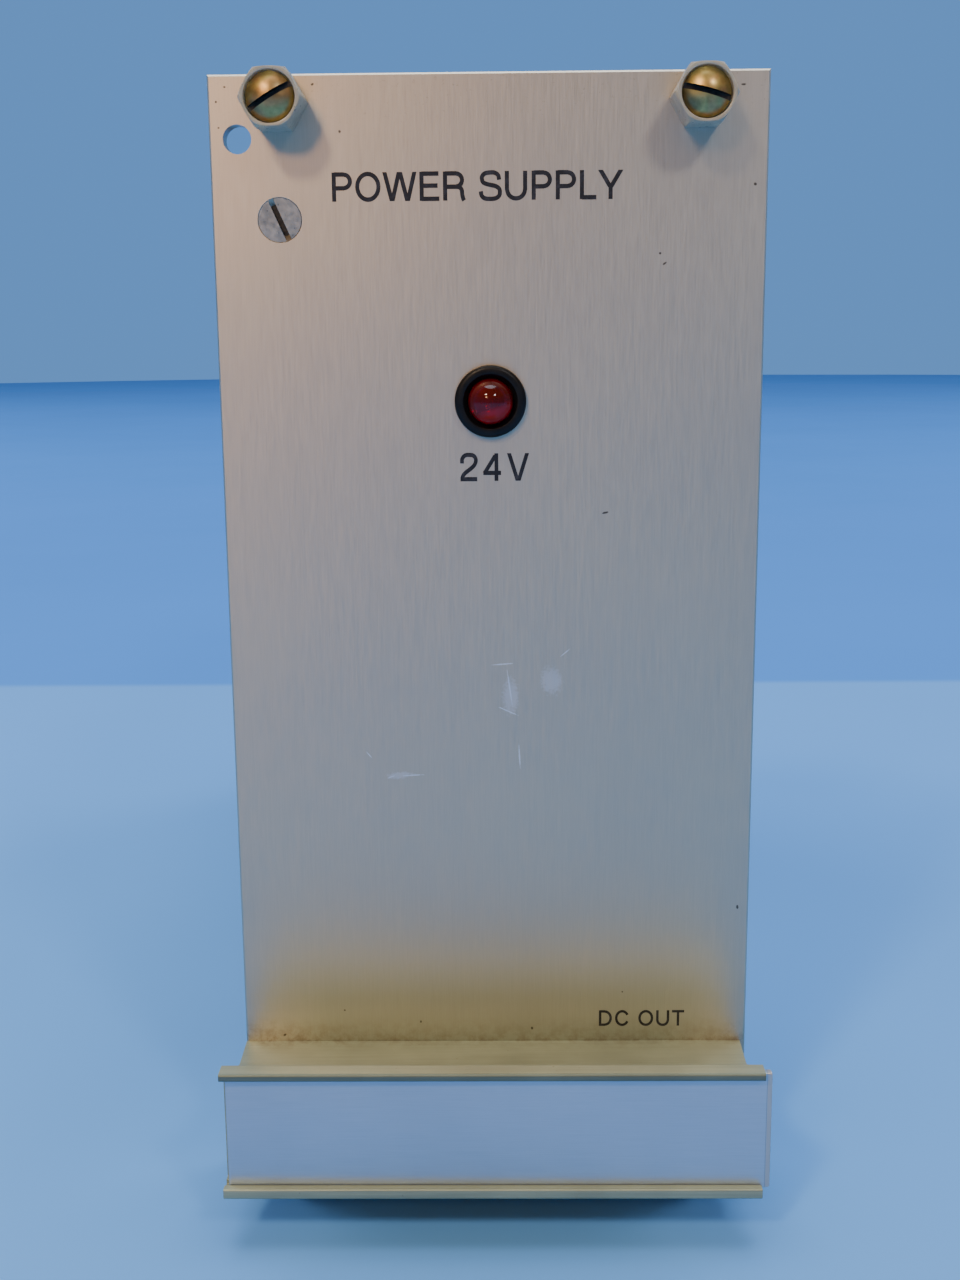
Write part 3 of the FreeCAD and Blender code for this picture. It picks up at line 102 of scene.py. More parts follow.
class Surface:
    """Faces gathered for one mesh, each with its finish; turn and spot place what is added."""

    def __init__(self):
        self.points = []
        self.faces = []
        self.finishes = []
        self.count = 0

    def add(self, points, faces, finish=0, turn=UPRIGHT, spot=(0, 0, 0)):
        points = np.asarray(points, float).reshape(-1, 3) @ turn + np.asarray(spot, float)
        listed = (np.asarray(faces) + self.count).tolist()
        self.points.append(points)
        self.faces += listed
        self.finishes += np.broadcast_to(finish, len(listed)).tolist()
        self.count += len(points)

    def grid(self, points, finish=0, wrap_cols=True, wrap_rows=False, ends=True, turn=UPRIGHT, spot=(0, 0, 0)):
        """A grid of points as cells; ends closes the first and the last row with one face each."""
        rows, cols = points.shape[:2]
        start = self.count
        self.add(points, cells(rows, cols, wrap_cols, wrap_rows), finish, turn, spot)
        if ends and not wrap_rows:
            ring = np.arange(cols)
            tips = np.ravel(finish)
            for line, tip in ((ring[::-1], tips[0]), (ring + (rows - 1) * cols, tips[-1])):
                self.faces.append((line + start).tolist())
                self.finishes.append(int(tip))

    def lathe(self, profile, sides=64, finish=0, turn=UPRIGHT, spot=(0, 0, 0)):
        """A profile of (radius, height) turned about the own z axis: x = r cos a, y = r sin a."""
        profile = np.asarray(profile, float)
        angle = np.linspace(0, 2 * math.pi, sides, endpoint=False)
        radius, height = profile[:, :1], profile[:, 1:]
        points = np.stack((radius * np.cos(angle), radius * np.sin(angle), height + 0 * angle), axis=-1)
        bands = np.repeat(finish, sides) if np.ndim(finish) else finish
        self.grid(points, bands, turn=turn, spot=spot)

    def block(self, low, high, corner=0.3, edge=0.2, taper=0.0, finish=0):
        """A moulded block on X: rounded rectangles of Y and Z, drawn in by a quarter circle at both ends."""
        low, high = np.asarray(low, float), np.asarray(high, float)
        size = high - low
        lean = np.linspace(0, math.pi / 2, 4)
        inset = edge * (1 - np.sin(lean))
        rise = edge * (1 - np.cos(lean))
        height = np.concatenate((rise, size[0] - rise[::-1]))
        inset = np.concatenate((inset, inset[::-1])) + taper * height / size[0]
        ring = rounded_ring(size[1] / 2, size[2] / 2, max(corner, edge * 1.05))
        half = size[1:] / 2
        scale = (half[None, :] - inset[:, None]) / half
        flat = ring[None, :, :] * scale[:, None, :]
        points = np.concatenate((np.broadcast_to(height[:, None, None], flat.shape[:2] + (1,)), flat), axis=-1)
        self.grid(points, finish, spot=(low[0], (low[1] + high[1]) / 2, (low[2] + high[2]) / 2))

    def tube(self, path, radius, sides=12, finish=0):
        """A circle carried along a path; each ring's axes follow the path's tangent without twisting."""
        path = np.asarray(path, float)
        tangent = np.gradient(path, axis=0)
        tangent /= np.linalg.norm(tangent, axis=1, keepdims=True)
        guide = np.array((0.31, 0.17, 0.93)) if abs(tangent[0] @ (0, 0, 1)) < 0.9 else np.array((0.95, 0.2, 0.1))
        side = np.cross(tangent, guide)
        side /= np.linalg.norm(side, axis=1, keepdims=True)
        other = np.cross(tangent, side)
        angle = np.linspace(0, 2 * math.pi, sides, endpoint=False)
        radius = np.broadcast_to(radius, len(path))[:, None, None]
        circle = side[:, None] * np.cos(angle)[:, None] + other[:, None] * np.sin(angle)[:, None]
        self.grid(path[:, None] + radius * circle, finish)

    def ribbon(self, path, wide, thick, across, finish=0):
        """A flat bar carried along a path; across is the direction of its width."""
        path = np.asarray(path, float)
        across = np.asarray(across, float)
        step = np.diff(path, axis=0)
        step /= np.linalg.norm(step, axis=1, keepdims=True)
        normals = np.cross(step, across)
        joined = np.concatenate((normals[:1], normals[:-1] + normals[1:], normals[-1:]))
        joined /= np.linalg.norm(joined, axis=1, keepdims=True)
        near = np.concatenate((normals[:1], normals[1:], normals[-1:]))
        joined /= np.sum(joined * near, axis=1, keepdims=True)
        wide = np.broadcast_to(wide, len(path))[:, None] / 2
        out = joined * thick / 2
        sides = (path - across * wide - out, path + across * wide - out,
                 path + across * wide + out, path - across * wide + out)
        self.grid(np.stack(sides, axis=1), finish)


    def ribbon_flat(self, path, wide, thick, finish=0):
        """A strip of even width along a path on the board: mitred sides, and its thickness along X."""
        flat = path[:, 1:]
        step = np.diff(flat, axis=0)
        step /= np.linalg.norm(step, axis=1, keepdims=True)
        side = np.stack((-step[:, 1], step[:, 0]), axis=-1)
        joined = np.concatenate((side[:1], side[:-1] + side[1:], side[-1:]))
        joined /= np.linalg.norm(joined, axis=1, keepdims=True)
        near = np.concatenate((side[:1], side[1:], side[-1:]))
        joined /= np.maximum(np.sum(joined * near, axis=1, keepdims=True), 0.5)
        edges = [flat + joined * wide / 2 * way for way in (-1, 1)]
        low, high = path[:, :1] - thick / 2, path[:, :1] + thick / 2
        lines = [np.concatenate((level, edge), axis=1) for level, edge in (
            (low, edges[0]), (low, edges[1]), (high, edges[1]), (high, edges[0]))]
        self.grid(np.stack(lines, axis=1), finish)


def rounded_ring(half_wide, half_tall, radius, steps=5):
    """A rectangle with a quarter circle at each corner, as one closed line of points."""
    lean = np.linspace(0, math.pi / 2, steps)
    quarter = np.stack((np.cos(lean), np.sin(lean)), axis=-1) * radius
    lines = []
    for index, (wide, tall) in enumerate(((1, 1), (-1, 1), (-1, -1), (1, -1))):
        cosine, sine = (1, 0, -1, 0)[index], (0, 1, 0, -1)[index]
        turned = quarter @ np.array(((cosine, sine), (-sine, cosine)))
        lines.append(turned + (wide * (half_wide - radius), tall * (half_tall - radius)))
    return np.concatenate(lines)


def arc(centre, radius, start, finish, steps):
    """Points of a circular arc between two angles in degrees."""
    lean = np.radians(np.linspace(start, finish, steps))
    return np.stack((centre[0] + radius * np.cos(lean), centre[1] + radius * np.sin(lean)), axis=-1)


def hexagon_radius(angle, flats):
    """Distance from the middle of a hexagon to its edge; its upper and lower flats are level."""
    return flats / 2 / np.cos((angle + math.pi / 6 - math.pi / 2) % (math.pi / 3) - math.pi / 6)


def soft_least(first, second, blend=0.05):
    """The smaller of two lengths with the ridge between them eased over a short width."""
    return -blend * np.logaddexp(-first / blend, -second / blend)


# ---------------------------------------------------------------- finished pieces

def piece(name, surface, finishes, body, stands_for=(), edge=0.0, angle=32, segments=2, merge=True):
    """Write a surface to a mesh in metres, join its doubles, ease its edges and give it to a body."""
    mesh = bpy.data.meshes.new(name)
    mesh.from_pydata((np.concatenate(surface.points) * MM).tolist(), [], surface.faces)
    mesh.polygons.foreach_set("material_index", surface.finishes)
    if merge:
        tidy_mesh(mesh)
    return dress(name, mesh, finishes, body, stands_for, edge, angle, segments)


def tidy_mesh(mesh, flatten=False):
    """Join doubles, drop faces without area, join flat neighbours if asked, and face outwards."""
    work = bmesh.new()
    work.from_mesh(mesh)
    bmesh.ops.remove_doubles(work, verts=work.verts, dist=2e-7)
    bmesh.ops.dissolve_degenerate(work, edges=work.edges, dist=1e-7)
    if flatten:
        bmesh.ops.dissolve_limit(work, angle_limit=math.radians(0.5), verts=work.verts, edges=work.edges)
    bmesh.ops.recalc_face_normals(work, faces=work.faces)
    work.to_mesh(mesh)
    work.free()


def dress(name, mesh, finishes, body, stands_for, edge, angle, segments):
    """The object of a finished mesh: smooth faces, sharp edges past an angle, a small bevel and its body."""
    mesh.polygons.foreach_set("use_smooth", np.ones(len(mesh.polygons), bool))
    mesh.set_sharp_from_angle(angle=math.radians(angle))
    for finish in finishes:
        mesh.materials.append(finish)
    thing = bpy.data.objects.new(name, mesh)
    bpy.context.scene.collection.objects.link(thing)
    if edge:
        bevel = thing.modifiers.new("eased_edges", "BEVEL")
        bevel.width = edge * MM
        bevel.segments = segments
        bevel.limit_method = "ANGLE"
        bevel.angle_limit = math.radians(angle)
        bevel.harden_normals = True
    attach(thing, body)
    if stands_for:
        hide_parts(*stands_for)
    return thing


def softened(node, name, finish, body, edge=0.15, angle=32, segments=2):
    """A merged copy of a CAD node's mesh with its flat faces joined and its edges eased."""
    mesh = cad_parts[node].data.copy()
    mesh.name = name
    mesh.materials.clear()
    tidy_mesh(mesh, flatten=True)
    return dress(name, mesh, [finish], body, (node,), edge, angle, segments)


def repaint(node, *finishes):
    """Give a CAD node's own mesh its finish."""
    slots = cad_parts[node].material_slots
    for index, finish in enumerate(finishes):
        slots[index].material = finish


# ---------------------------------------------------------------- finishes

class Finish:
    """A material's node tree, with shorthands for the nodes that most finishes share."""

    def __init__(self, name, **sockets):
        self.material = bpy.data.materials.new(name)
        self.material.use_nodes = True
        self.tree = self.material.node_tree
        self.shader = self.tree.nodes["Principled BSDF"]
        for socket, value in sockets.items():
            self.shader.inputs[socket.replace("_", " ")].default_value = value
        self.place = self.tree.nodes.new("ShaderNodeTexCoord").outputs["Object"]

    def link(self, source, target):
        if hasattr(source, "is_output"):
            self.tree.links.new(source, target)
        else:
            target.default_value = source

    def feed(self, **sockets):
        """Join outputs to the shader's sockets."""
        for socket, source in sockets.items():
            self.link(source, self.shader.inputs[socket.replace("_", " ")])
        return self

    def mapped(self, scale=(1, 1, 1), turn=(0, 0, 0), shift=(0, 0, 0)):
        node = self.tree.nodes.new("ShaderNodeMapping")
        node.inputs["Location"].default_value = shift
        node.inputs["Rotation"].default_value = turn
        node.inputs["Scale"].default_value = scale
        self.link(self.place, node.inputs["Vector"])
        return node.outputs["Vector"]

    def noise(self, scale, detail=3.0, rough=0.55, vector=None, distort=0.0):
        """Cloudy values from 0 to 1; scale is in repeats per millimetre."""
        node = self.tree.nodes.new("ShaderNodeTexNoise")
        self.link(self.place if vector is None else vector, node.inputs["Vector"])
        node.inputs["Scale"].default_value = scale / MM
        node.inputs["Detail"].default_value = detail
        node.inputs["Roughness"].default_value = rough
        node.inputs["Distortion"].default_value = distort
        return node.outputs["Fac"]

    def streaks(self, scale, stretch, detail=4.0):
        """Noise drawn out along the axes whose stretch is small."""
        return self.noise(scale, detail, 0.6, self.mapped(stretch))

    def cracks(self, scale, vector=None):
        """Distance to the nearest cell border, which is 0 along it."""
        node = self.tree.nodes.new("ShaderNodeTexVoronoi")
        node.feature = "DISTANCE_TO_EDGE"
        self.link(self.place if vector is None else vector, node.inputs["Vector"])
        node.inputs["Scale"].default_value = scale / MM
        return node.outputs["Distance"]

    def sum(self, operation, *values):
        """One arithmetic node."""
        node = self.tree.nodes.new("ShaderNodeMath")
        node.operation = operation
        for value, target in zip(values, node.inputs):
            self.link(value, target)
        return node.outputs[0]

    def ramp(self, value, *stops, ease="LINEAR"):
        """Colours at places along a value; a stop is (place, grey) or (place, (red, green, blue))."""
        node = self.tree.nodes.new("ShaderNodeValToRGB")
        node.color_ramp.interpolation = ease
        marks = node.color_ramp.elements
        while len(marks) < len(stops):
            marks.new(0.5)
        for mark, (at, shade) in zip(marks, stops):
            mark.position = at
            mark.color = tuple(np.broadcast_to(shade, 3)) + (1.0,)
        self.link(value, node.inputs["Fac"])
        return node.outputs["Color"]

    def blend(self, kind, first, second, amount=1.0):
        """Two colours mixed; amount is how much of the second."""
        node = self.tree.nodes.new("ShaderNodeMix")
        node.data_type = "RGBA"
        node.blend_type = kind
        self.link(amount, node.inputs[0])
        for source, target in ((first, node.inputs[6]), (second, node.inputs[7])):
            self.link(source if hasattr(source, "is_output") else tuple(source) + (1.0,), target)
        return node.outputs[2]

    def axes(self):
        """The place in millimetres, as three separate values."""
        node = self.tree.nodes.new("ShaderNodeSeparateXYZ")
        self.link(self.mapped((1 / MM,) * 3), node.inputs[0])
        return node.outputs

    def bump(self, height, strength=0.3, depth=0.05):
        """Relief of a value on the surface; depth is in millimetres."""
        node = self.tree.nodes.new("ShaderNodeBump")
        node.inputs["Strength"].default_value = strength
        node.inputs["Distance"].default_value = depth * MM
        self.link(height, node.inputs["Height"])
        self.link(node.outputs["Normal"], self.shader.inputs["Normal"])
        return self


def shade(colour, factor):
    return tuple(min(channel * factor, 1.0) for channel in colour[:3])


def mottled(name, colour, spread=0.12, scale=0.6, rough=(0.35, 0.55), grain=8.0, relief=0.15, depth=0.03, **sockets):
    """A moulded or painted finish: uneven colour, uneven gloss and a fine grain in relief."""
    finish = Finish(name, **sockets)
    cloud = finish.noise(scale, 4.0)
    tone = finish.ramp(cloud, (0.3, shade(colour, 1 - spread)), (0.7, shade(colour, 1 + spread)))
    gloss = finish.ramp(finish.noise(scale * 2.3, 3.0), (0.3, rough[0]), (0.7, rough[1]))
    finish.feed(Base_Color=tone, Roughness=gloss)
    finish.bump(finish.noise(grain, 2.0), relief, depth)
    return finish.material


def brushed(name, colour, stretch, spread=0.1, rough=(0.28, 0.42), relief=0.12, scale=12.0, **sockets):
    """Metal with fine lines along one direction: streaks in its colour, its gloss and its relief."""
    finish = Finish(name, Metallic=1.0, **sockets)
    lines = finish.streaks(scale, stretch)
    cloud = finish.noise(0.15, 3.0)
    tone = finish.ramp(lines, (0.3, shade(colour, 1 - spread)), (0.7, shade(colour, 1 + spread)))
    tone = finish.blend("MULTIPLY", tone, finish.ramp(cloud, (0.3, 0.88), (0.7, 1.0)), 1.0)
    finish.feed(Base_Color=tone, Roughness=finish.ramp(lines, (0.3, rough[0]), (0.7, rough[1])))
    finish.bump(lines, relief, 0.01)
    return finish.material


_made = {}


def shared(name, make):
    """A finish that several pieces share, made the first time that it is asked for."""
    if name not in _made:
        _made[name] = make()
    return _made[name]


def zinc():
    """Zinc-plated steel: grey, slightly blue, cloudy, with fine turning marks."""
    return shared("zinc_steel", lambda: mottled(
        "zinc_steel", (0.46, 0.47, 0.48), 0.18, 0.9, (0.24, 0.5), 14.0, 0.12, 0.01, Metallic=1.0))


def slot_shade_and_grime():
    """The inside of a screw's slot: painted shade with some oily grime, dark with a little bare metal left."""
    return shared("slot_shade_and_grime", lambda: mottled(
        "slot_shade_and_grime", (0.035, 0.032, 0.028), 0.5, 2.5, (0.35, 0.6), 6.0, 0.3, 0.03, Metallic=0.6))


def tin():
    """Tinned brass or copper: bright, a little uneven."""
    return shared("tinned_metal", lambda: mottled(
        "tinned_metal", (0.66, 0.65, 0.62), 0.1, 1.4, (0.2, 0.4), 10.0, 0.15, 0.01, Metallic=1.0))


def black_plastic():
    return shared("black_plastic", lambda: mottled(
        "black_plastic", (0.005, 0.005, 0.005), 0.25, 0.8, (0.30, 0.48), 9.0, 0.1, 0.02, Specular_IOR_Level=0.2))


def chromate():
    """Yellow chromate over zinc: gold with green, red and violet patches, dulled in random patches."""
    def make():
        finish = Finish("yellow_chromate", Metallic=1.0)
        cloud = finish.noise(0.30, 2.0, 0.5, distort=0.6)
        film = finish.ramp(
            cloud,
            (0.26, (0.18, 0.13, 0.065)),
            (0.40, (0.31, 0.22, 0.085)),
            (0.50, (0.48, 0.35, 0.12)),
            (0.58, (0.40, 0.31, 0.11)),
            (0.66, (0.46, 0.28, 0.11)),
            (0.76, (0.28, 0.20, 0.095)))
        grime = finish.ramp(finish.noise(1.3, 3.0), (0.30, 0.72), (0.6, 1.0))
        finish.feed(Base_Color=finish.blend("MULTIPLY", film, grime),
                    Roughness=finish.ramp(finish.noise(0.9, 3.0), (0.3, 0.32), (0.7, 0.46)))
        finish.bump(finish.noise(5.0, 3.0), 0.16, 0.02)
        return finish.material
    return shared("yellow_chromate", make)


def nylon(colour):
    """Aged natural nylon: milky, light passes through it, faint moulding ripples."""
    def make():
        finish = Finish("aged_nylon", Subsurface_Weight=0.35, Subsurface_Scale=0.8 * MM, IOR=1.5,
                        Transmission_Weight=0.5)
        finish.shader.inputs["Subsurface Radius"].default_value = (1.0, 0.85, 0.6)
        cloud = finish.noise(0.5, 4.0)
        tone = finish.ramp(cloud, (0.3, shade(colour, 0.82)), (0.7, shade(colour, 1.08)))
        finish.feed(Base_Color=tone, Roughness=finish.ramp(finish.noise(1.6), (0.3, 0.26), (0.7, 0.44)))
        finish.bump(finish.noise(2.6, 3.0), 0.2, 0.05)
        return finish.material
    return shared("aged_nylon", make)


# ---------------------------------------------------------------- settings

class CardSettings(bpy.types.PropertyGroup):
    """Sizes and colours that a user may change before the pieces are built."""
    metal: bpy.props.FloatVectorProperty(
        name="Panel metal", description="Colour of the front panel's natural anodised aluminium",
        subtype="COLOR", size=3, min=0, max=1, default=(0.56, 0.485, 0.375))
    pull: bpy.props.FloatVectorProperty(
        name="Handle metal", description="Colour of the pull handle's anodised aluminium",
        subtype="COLOR", size=3, min=0, max=1, default=(0.385, 0.415, 0.275))
    strip: bpy.props.FloatVectorProperty(
        name="Label strip", description="Colour of the blank label strip",
        subtype="COLOR", size=3, min=0, max=1, default=(0.44, 0.52, 0.60))
    sleeve: bpy.props.FloatVectorProperty(
        name="Nylon", description="Colour of the sleeves round the captive screws",
        subtype="COLOR", size=3, min=0, max=1, default=(0.66, 0.60, 0.44))
    ink: bpy.props.FloatVectorProperty(
        name="Ink", description="Colour of the printed lettering",
        subtype="COLOR", size=3, min=0, max=1, default=(0.012, 0.012, 0.014))
    lens: bpy.props.FloatVectorProperty(
        name="Lamp", description="Colour of the lamp's lens",
        subtype="COLOR", size=3, min=0, max=1, default=(0.15, 0.0015, 0.004))
    board: bpy.props.FloatVectorProperty(
        name="Board", description="Colour of the circuit board's mask",
        subtype="COLOR", size=3, min=0, max=1, default=(0.020, 0.105, 0.040))
    sleeve_can: bpy.props.FloatVectorProperty(
        name="Capacitor sleeve", description="Colour of the shrunk sleeve on the round capacitors",
        subtype="COLOR", size=3, min=0, max=1, default=(0.018, 0.045, 0.13))
    pitch: bpy.props.FloatProperty(
        name="Thread pitch", description="Distance between two turns of a screw's thread, in millimetres",
        min=0.2, max=2.0, default=0.45)
    lamination: bpy.props.FloatProperty(
        name="Lamination", description="Thickness of one sheet of the transformer's core, in millimetres",
        min=0.2, max=2.0, default=0.5)
    copper: bpy.props.FloatProperty(
        name="Copper", description="Height of a printed track above the board, in millimetres",
        min=0.01, max=0.2, default=0.05)
    key_power: bpy.props.FloatProperty(
        name="Key light", description="Power of the warm light from the upper left",
        min=0, max=50, default=3.1, unit="POWER")
    side_power: bpy.props.FloatProperty(
        name="Side light", description="Power of the light from the upper right",
        min=0, max=50, default=1.5, unit="POWER")
    front_power: bpy.props.FloatProperty(
        name="Front light", description="Power of the light beside the camera",
        min=0, max=50, default=1.05, unit="POWER")
    top_power: bpy.props.FloatProperty(
        name="Top light", description="Power of the wide cool light from above",
        min=0, max=500, default=42.0, unit="POWER")
    rear_power: bpy.props.FloatProperty(
        name="Rear light", description="Power of each of the two wide lights behind the card",
        min=0, max=500, default=13.0, unit="POWER")
    room: bpy.props.FloatProperty(
        name="Room", description="Strength of the soft light from the room all round",
        min=0, max=10, default=0.36)
    floor: bpy.props.FloatVectorProperty(
        name="Floor", description="Colour of the floor and backdrop",
        subtype="COLOR", size=3, min=0, max=1, default=(0.13, 0.37, 0.80))


def settings():
    return bpy.context.scene.card_settings


# ---------------------------------------------------------------- front panel

# Marks of use on the panel: across, up, half width, half height and lean in degrees, in millimetres.
SCRATCHES = (
    (1.2, 63.3, 1.5, 0.10, 4), (1.8, 57.7, 1.5, 0.09, -24), (-9.4, 50.0, 1.4, 0.10, 3),
    (2.0, 60.4, 0.10, 2.6, 8), (8.4, 64.6, 0.9, 0.07, 40), (-14.5, 52.5, 0.6, 0.07, -50),
    (3.1, 52.2, 0.10, 1.7, 3), (-12.0, 49.8, 0.6, 0.06, 20),
)
SMUDGES = ((6.8, 61.3, 1.5, 1.9, 10), (2.1, 59.5, 1.1, 2.6, 0), (-11.0, 50.0, 1.9, 0.5, 5))
SPECKS = (
    (12.9, 80.8, 0.42, 0.14, 15), (4.5, 18.0, 0.16, 0.22, 0), (19.2, 108.2, 0.3, 0.14, 40),
    (15.4, 22.7, 0.12, 0.12, 0), (-18.2, 20.4, 0.14, 0.12, 0), (-9.0, 18.9, 0.12, 0.2, 0),
    (20.4, 15.9, 0.2, 0.1, 20), (-25.6, 17.2, 0.3, 0.16, 30), (29.0, 33.5, 0.2, 0.3, 0),
    (28.9, 116.5, 0.2, 0.2, 0), (18.7, 109.3, 0.16, 0.16, 0), (27.4, 126.8, 0.3, 0.14, 0),
    (-18.9, 127.3, 0.2, 0.14, 30), (-29.4, 125.6, 0.14, 0.16, 0), (-29.2, 122.9, 0.16, 0.12, 0),
    (-16.1, 122.4, 0.16, 0.2, 20), (-28.4, 127.1, 0.16, 0.12, 0),
)


def spots_mask(finish, marks, softness):
    """How near the place is to the closest of several leaning ovals: 1 inside and 0 outside."""
    total = 0.0
    for across, up, wide, tall, lean in marks:
        node = finish.tree.nodes.new("ShaderNodeMapping")
        node.vector_type = "TEXTURE"
        node.inputs["Location"].default_value = (across * MM, FACE * MM, up * MM)
        node.inputs["Rotation"].default_value = (0, math.radians(-lean), 0)
        node.inputs["Scale"].default_value = (wide * MM, MM, tall * MM)
        finish.link(finish.place, node.inputs["Vector"])
        length = finish.tree.nodes.new("ShaderNodeVectorMath")
        length.operation = "LENGTH"
        finish.link(node.outputs["Vector"], length.inputs[0])
        near = finish.sum("SUBTRACT", 1.0 + softness, length.outputs["Value"])
        near = finish.sum("DIVIDE", near, 2 * softness)
        total = finish.sum("MAXIMUM", near, total)
    ragged = finish.sum("MULTIPLY", finish.noise(3.0, 4.0), 1.1)
    return finish.ramp(finish.sum("SUBTRACT", total, ragged), (0.0, 0.0), (0.35, 1.0))


def panel_metal(colour):
    """Upright brushing, faint handling clouds, scratches, specks, painted shade and a painted floor reflection above
    the handle, and brown grime along the handle.
    """
    finish = Finish("brushed_panel", Metallic=1.0, Anisotropic=0.45, Anisotropic_Rotation=0.25)
    fine = finish.streaks(16.0, (1, 1, 0.02))
    broad = finish.streaks(1.6, (1, 1, 0.012), 3.0)
    cloud = finish.noise(0.035, 4.0)
    tone = finish.ramp(fine, (0.28, shade(colour, 0.94)), (0.72, shade(colour, 1.055)))
    tone = finish.blend("MULTIPLY", tone, finish.ramp(broad, (0.3, 0.98), (0.7, 1.0)))
    tone = finish.blend("MULTIPLY", tone, finish.ramp(cloud, (0.35, (0.95, 0.95, 0.96)), (0.65, (1.0, 0.99, 0.97))))
    tone = finish.blend("MIX", tone, (0.82, 0.81, 0.80), finish.sum(
        "MULTIPLY", spots_mask(finish, SCRATCHES, 0.5), 0.75))
    tone = finish.blend("MIX", tone, (0.74, 0.72, 0.72), finish.sum(
        "MULTIPLY", spots_mask(finish, SMUDGES, 0.6), 0.38))
    tone = finish.blend("MIX", tone, (0.05, 0.04, 0.03), finish.sum(
        "MULTIPLY", spots_mask(finish, SPECKS, 0.5), 0.85))
    across, along, up = finish.axes()
    front = finish.ramp(finish.sum("SUBTRACT", along, FACE), (0.02, 1.0), (0.3, 0.0))
    # Over the middle of the panel just above the handle the colour is darkened and turned bluish: painted shade and a
    # painted reflection of the blue floor.
    height = finish.sum("SUBTRACT", up, 16.3)
    floor_reflection_shade = finish.ramp(finish.sum("MULTIPLY", height, 0.085), (0.0, 0.75), (0.4, 0.4), (1.0, 0.0), ease="EASE")
    middle_part = finish.ramp(finish.sum("MULTIPLY", finish.sum("ABSOLUTE", across, 0.0), 1 / 30.3),
                              (0.62, 1.0), (0.95, 0.35), ease="EASE")
    tone = finish.blend("MULTIPLY", tone, (0.42, 0.59, 0.65), finish.sum(
        "MULTIPLY", finish.sum("MULTIPLY", floor_reflection_shade, middle_part), front))
    dust = finish.ramp(finish.noise(2.2, 4.0, 0.65), (0.60, 0.0), (0.72, 0.5))
    top = finish.ramp(finish.sum("MULTIPLY", finish.sum("SUBTRACT", up, 121.0), 1 / 7.4), (0.0, 0.0), (1.0, 1.0))
    tone = finish.blend("MIX", tone, (0.20, 0.15, 0.09), finish.sum("MULTIPLY", dust, top))
    patchy = finish.ramp(finish.noise(0.75, 6.0, 0.7), (0.42, 0.0), (0.62, 1.0))
    near = finish.ramp(finish.sum("MULTIPLY", height, 0.3), (0.0, 1.0), (0.12, 0.7), (0.3, 0.42), (1.0, 0.0))
    left = finish.ramp(finish.sum("MULTIPLY", finish.sum("ADD", across, 30.3), 0.02), (0.08, 1.0), (0.3, 0.6))
    grime = finish.sum("MULTIPLY", finish.sum("MULTIPLY", near, patchy), finish.sum("MULTIPLY", left, front))
    tone = finish.blend("MIX", tone, (0.15, 0.09, 0.045), finish.sum("MULTIPLY", grime, 0.9))
    gloss = finish.ramp(fine, (0.3, 0.39), (0.7, 0.48))
    finish.feed(Base_Color=tone, Roughness=gloss)
    finish.bump(fine, 0.05, 0.006)
    return finish.material


class CARD_OT_front_panel(bpy.types.Operator):
    """Finish the front panel's brushed aluminium"""
    bl_idname = "card.front_panel"
    bl_label = "Front Panel"

    def execute(self, context):
        repaint("front_panel", panel_metal(settings().metal))
        return {"FINISHED"}


# Lettering: words, left and right end, foot and height of the capitals, extra room between letters.
WORDS = (
    ("POWER SUPPLY", -17.1, 14.6, 115.08, 3.05, 0.0),
    ("24V", -3.47, 4.3, 84.5, 3.1, 0.15),
    ("DC OUT", 12.6, 22.9, 18.3, 2.0, 0.05),
)

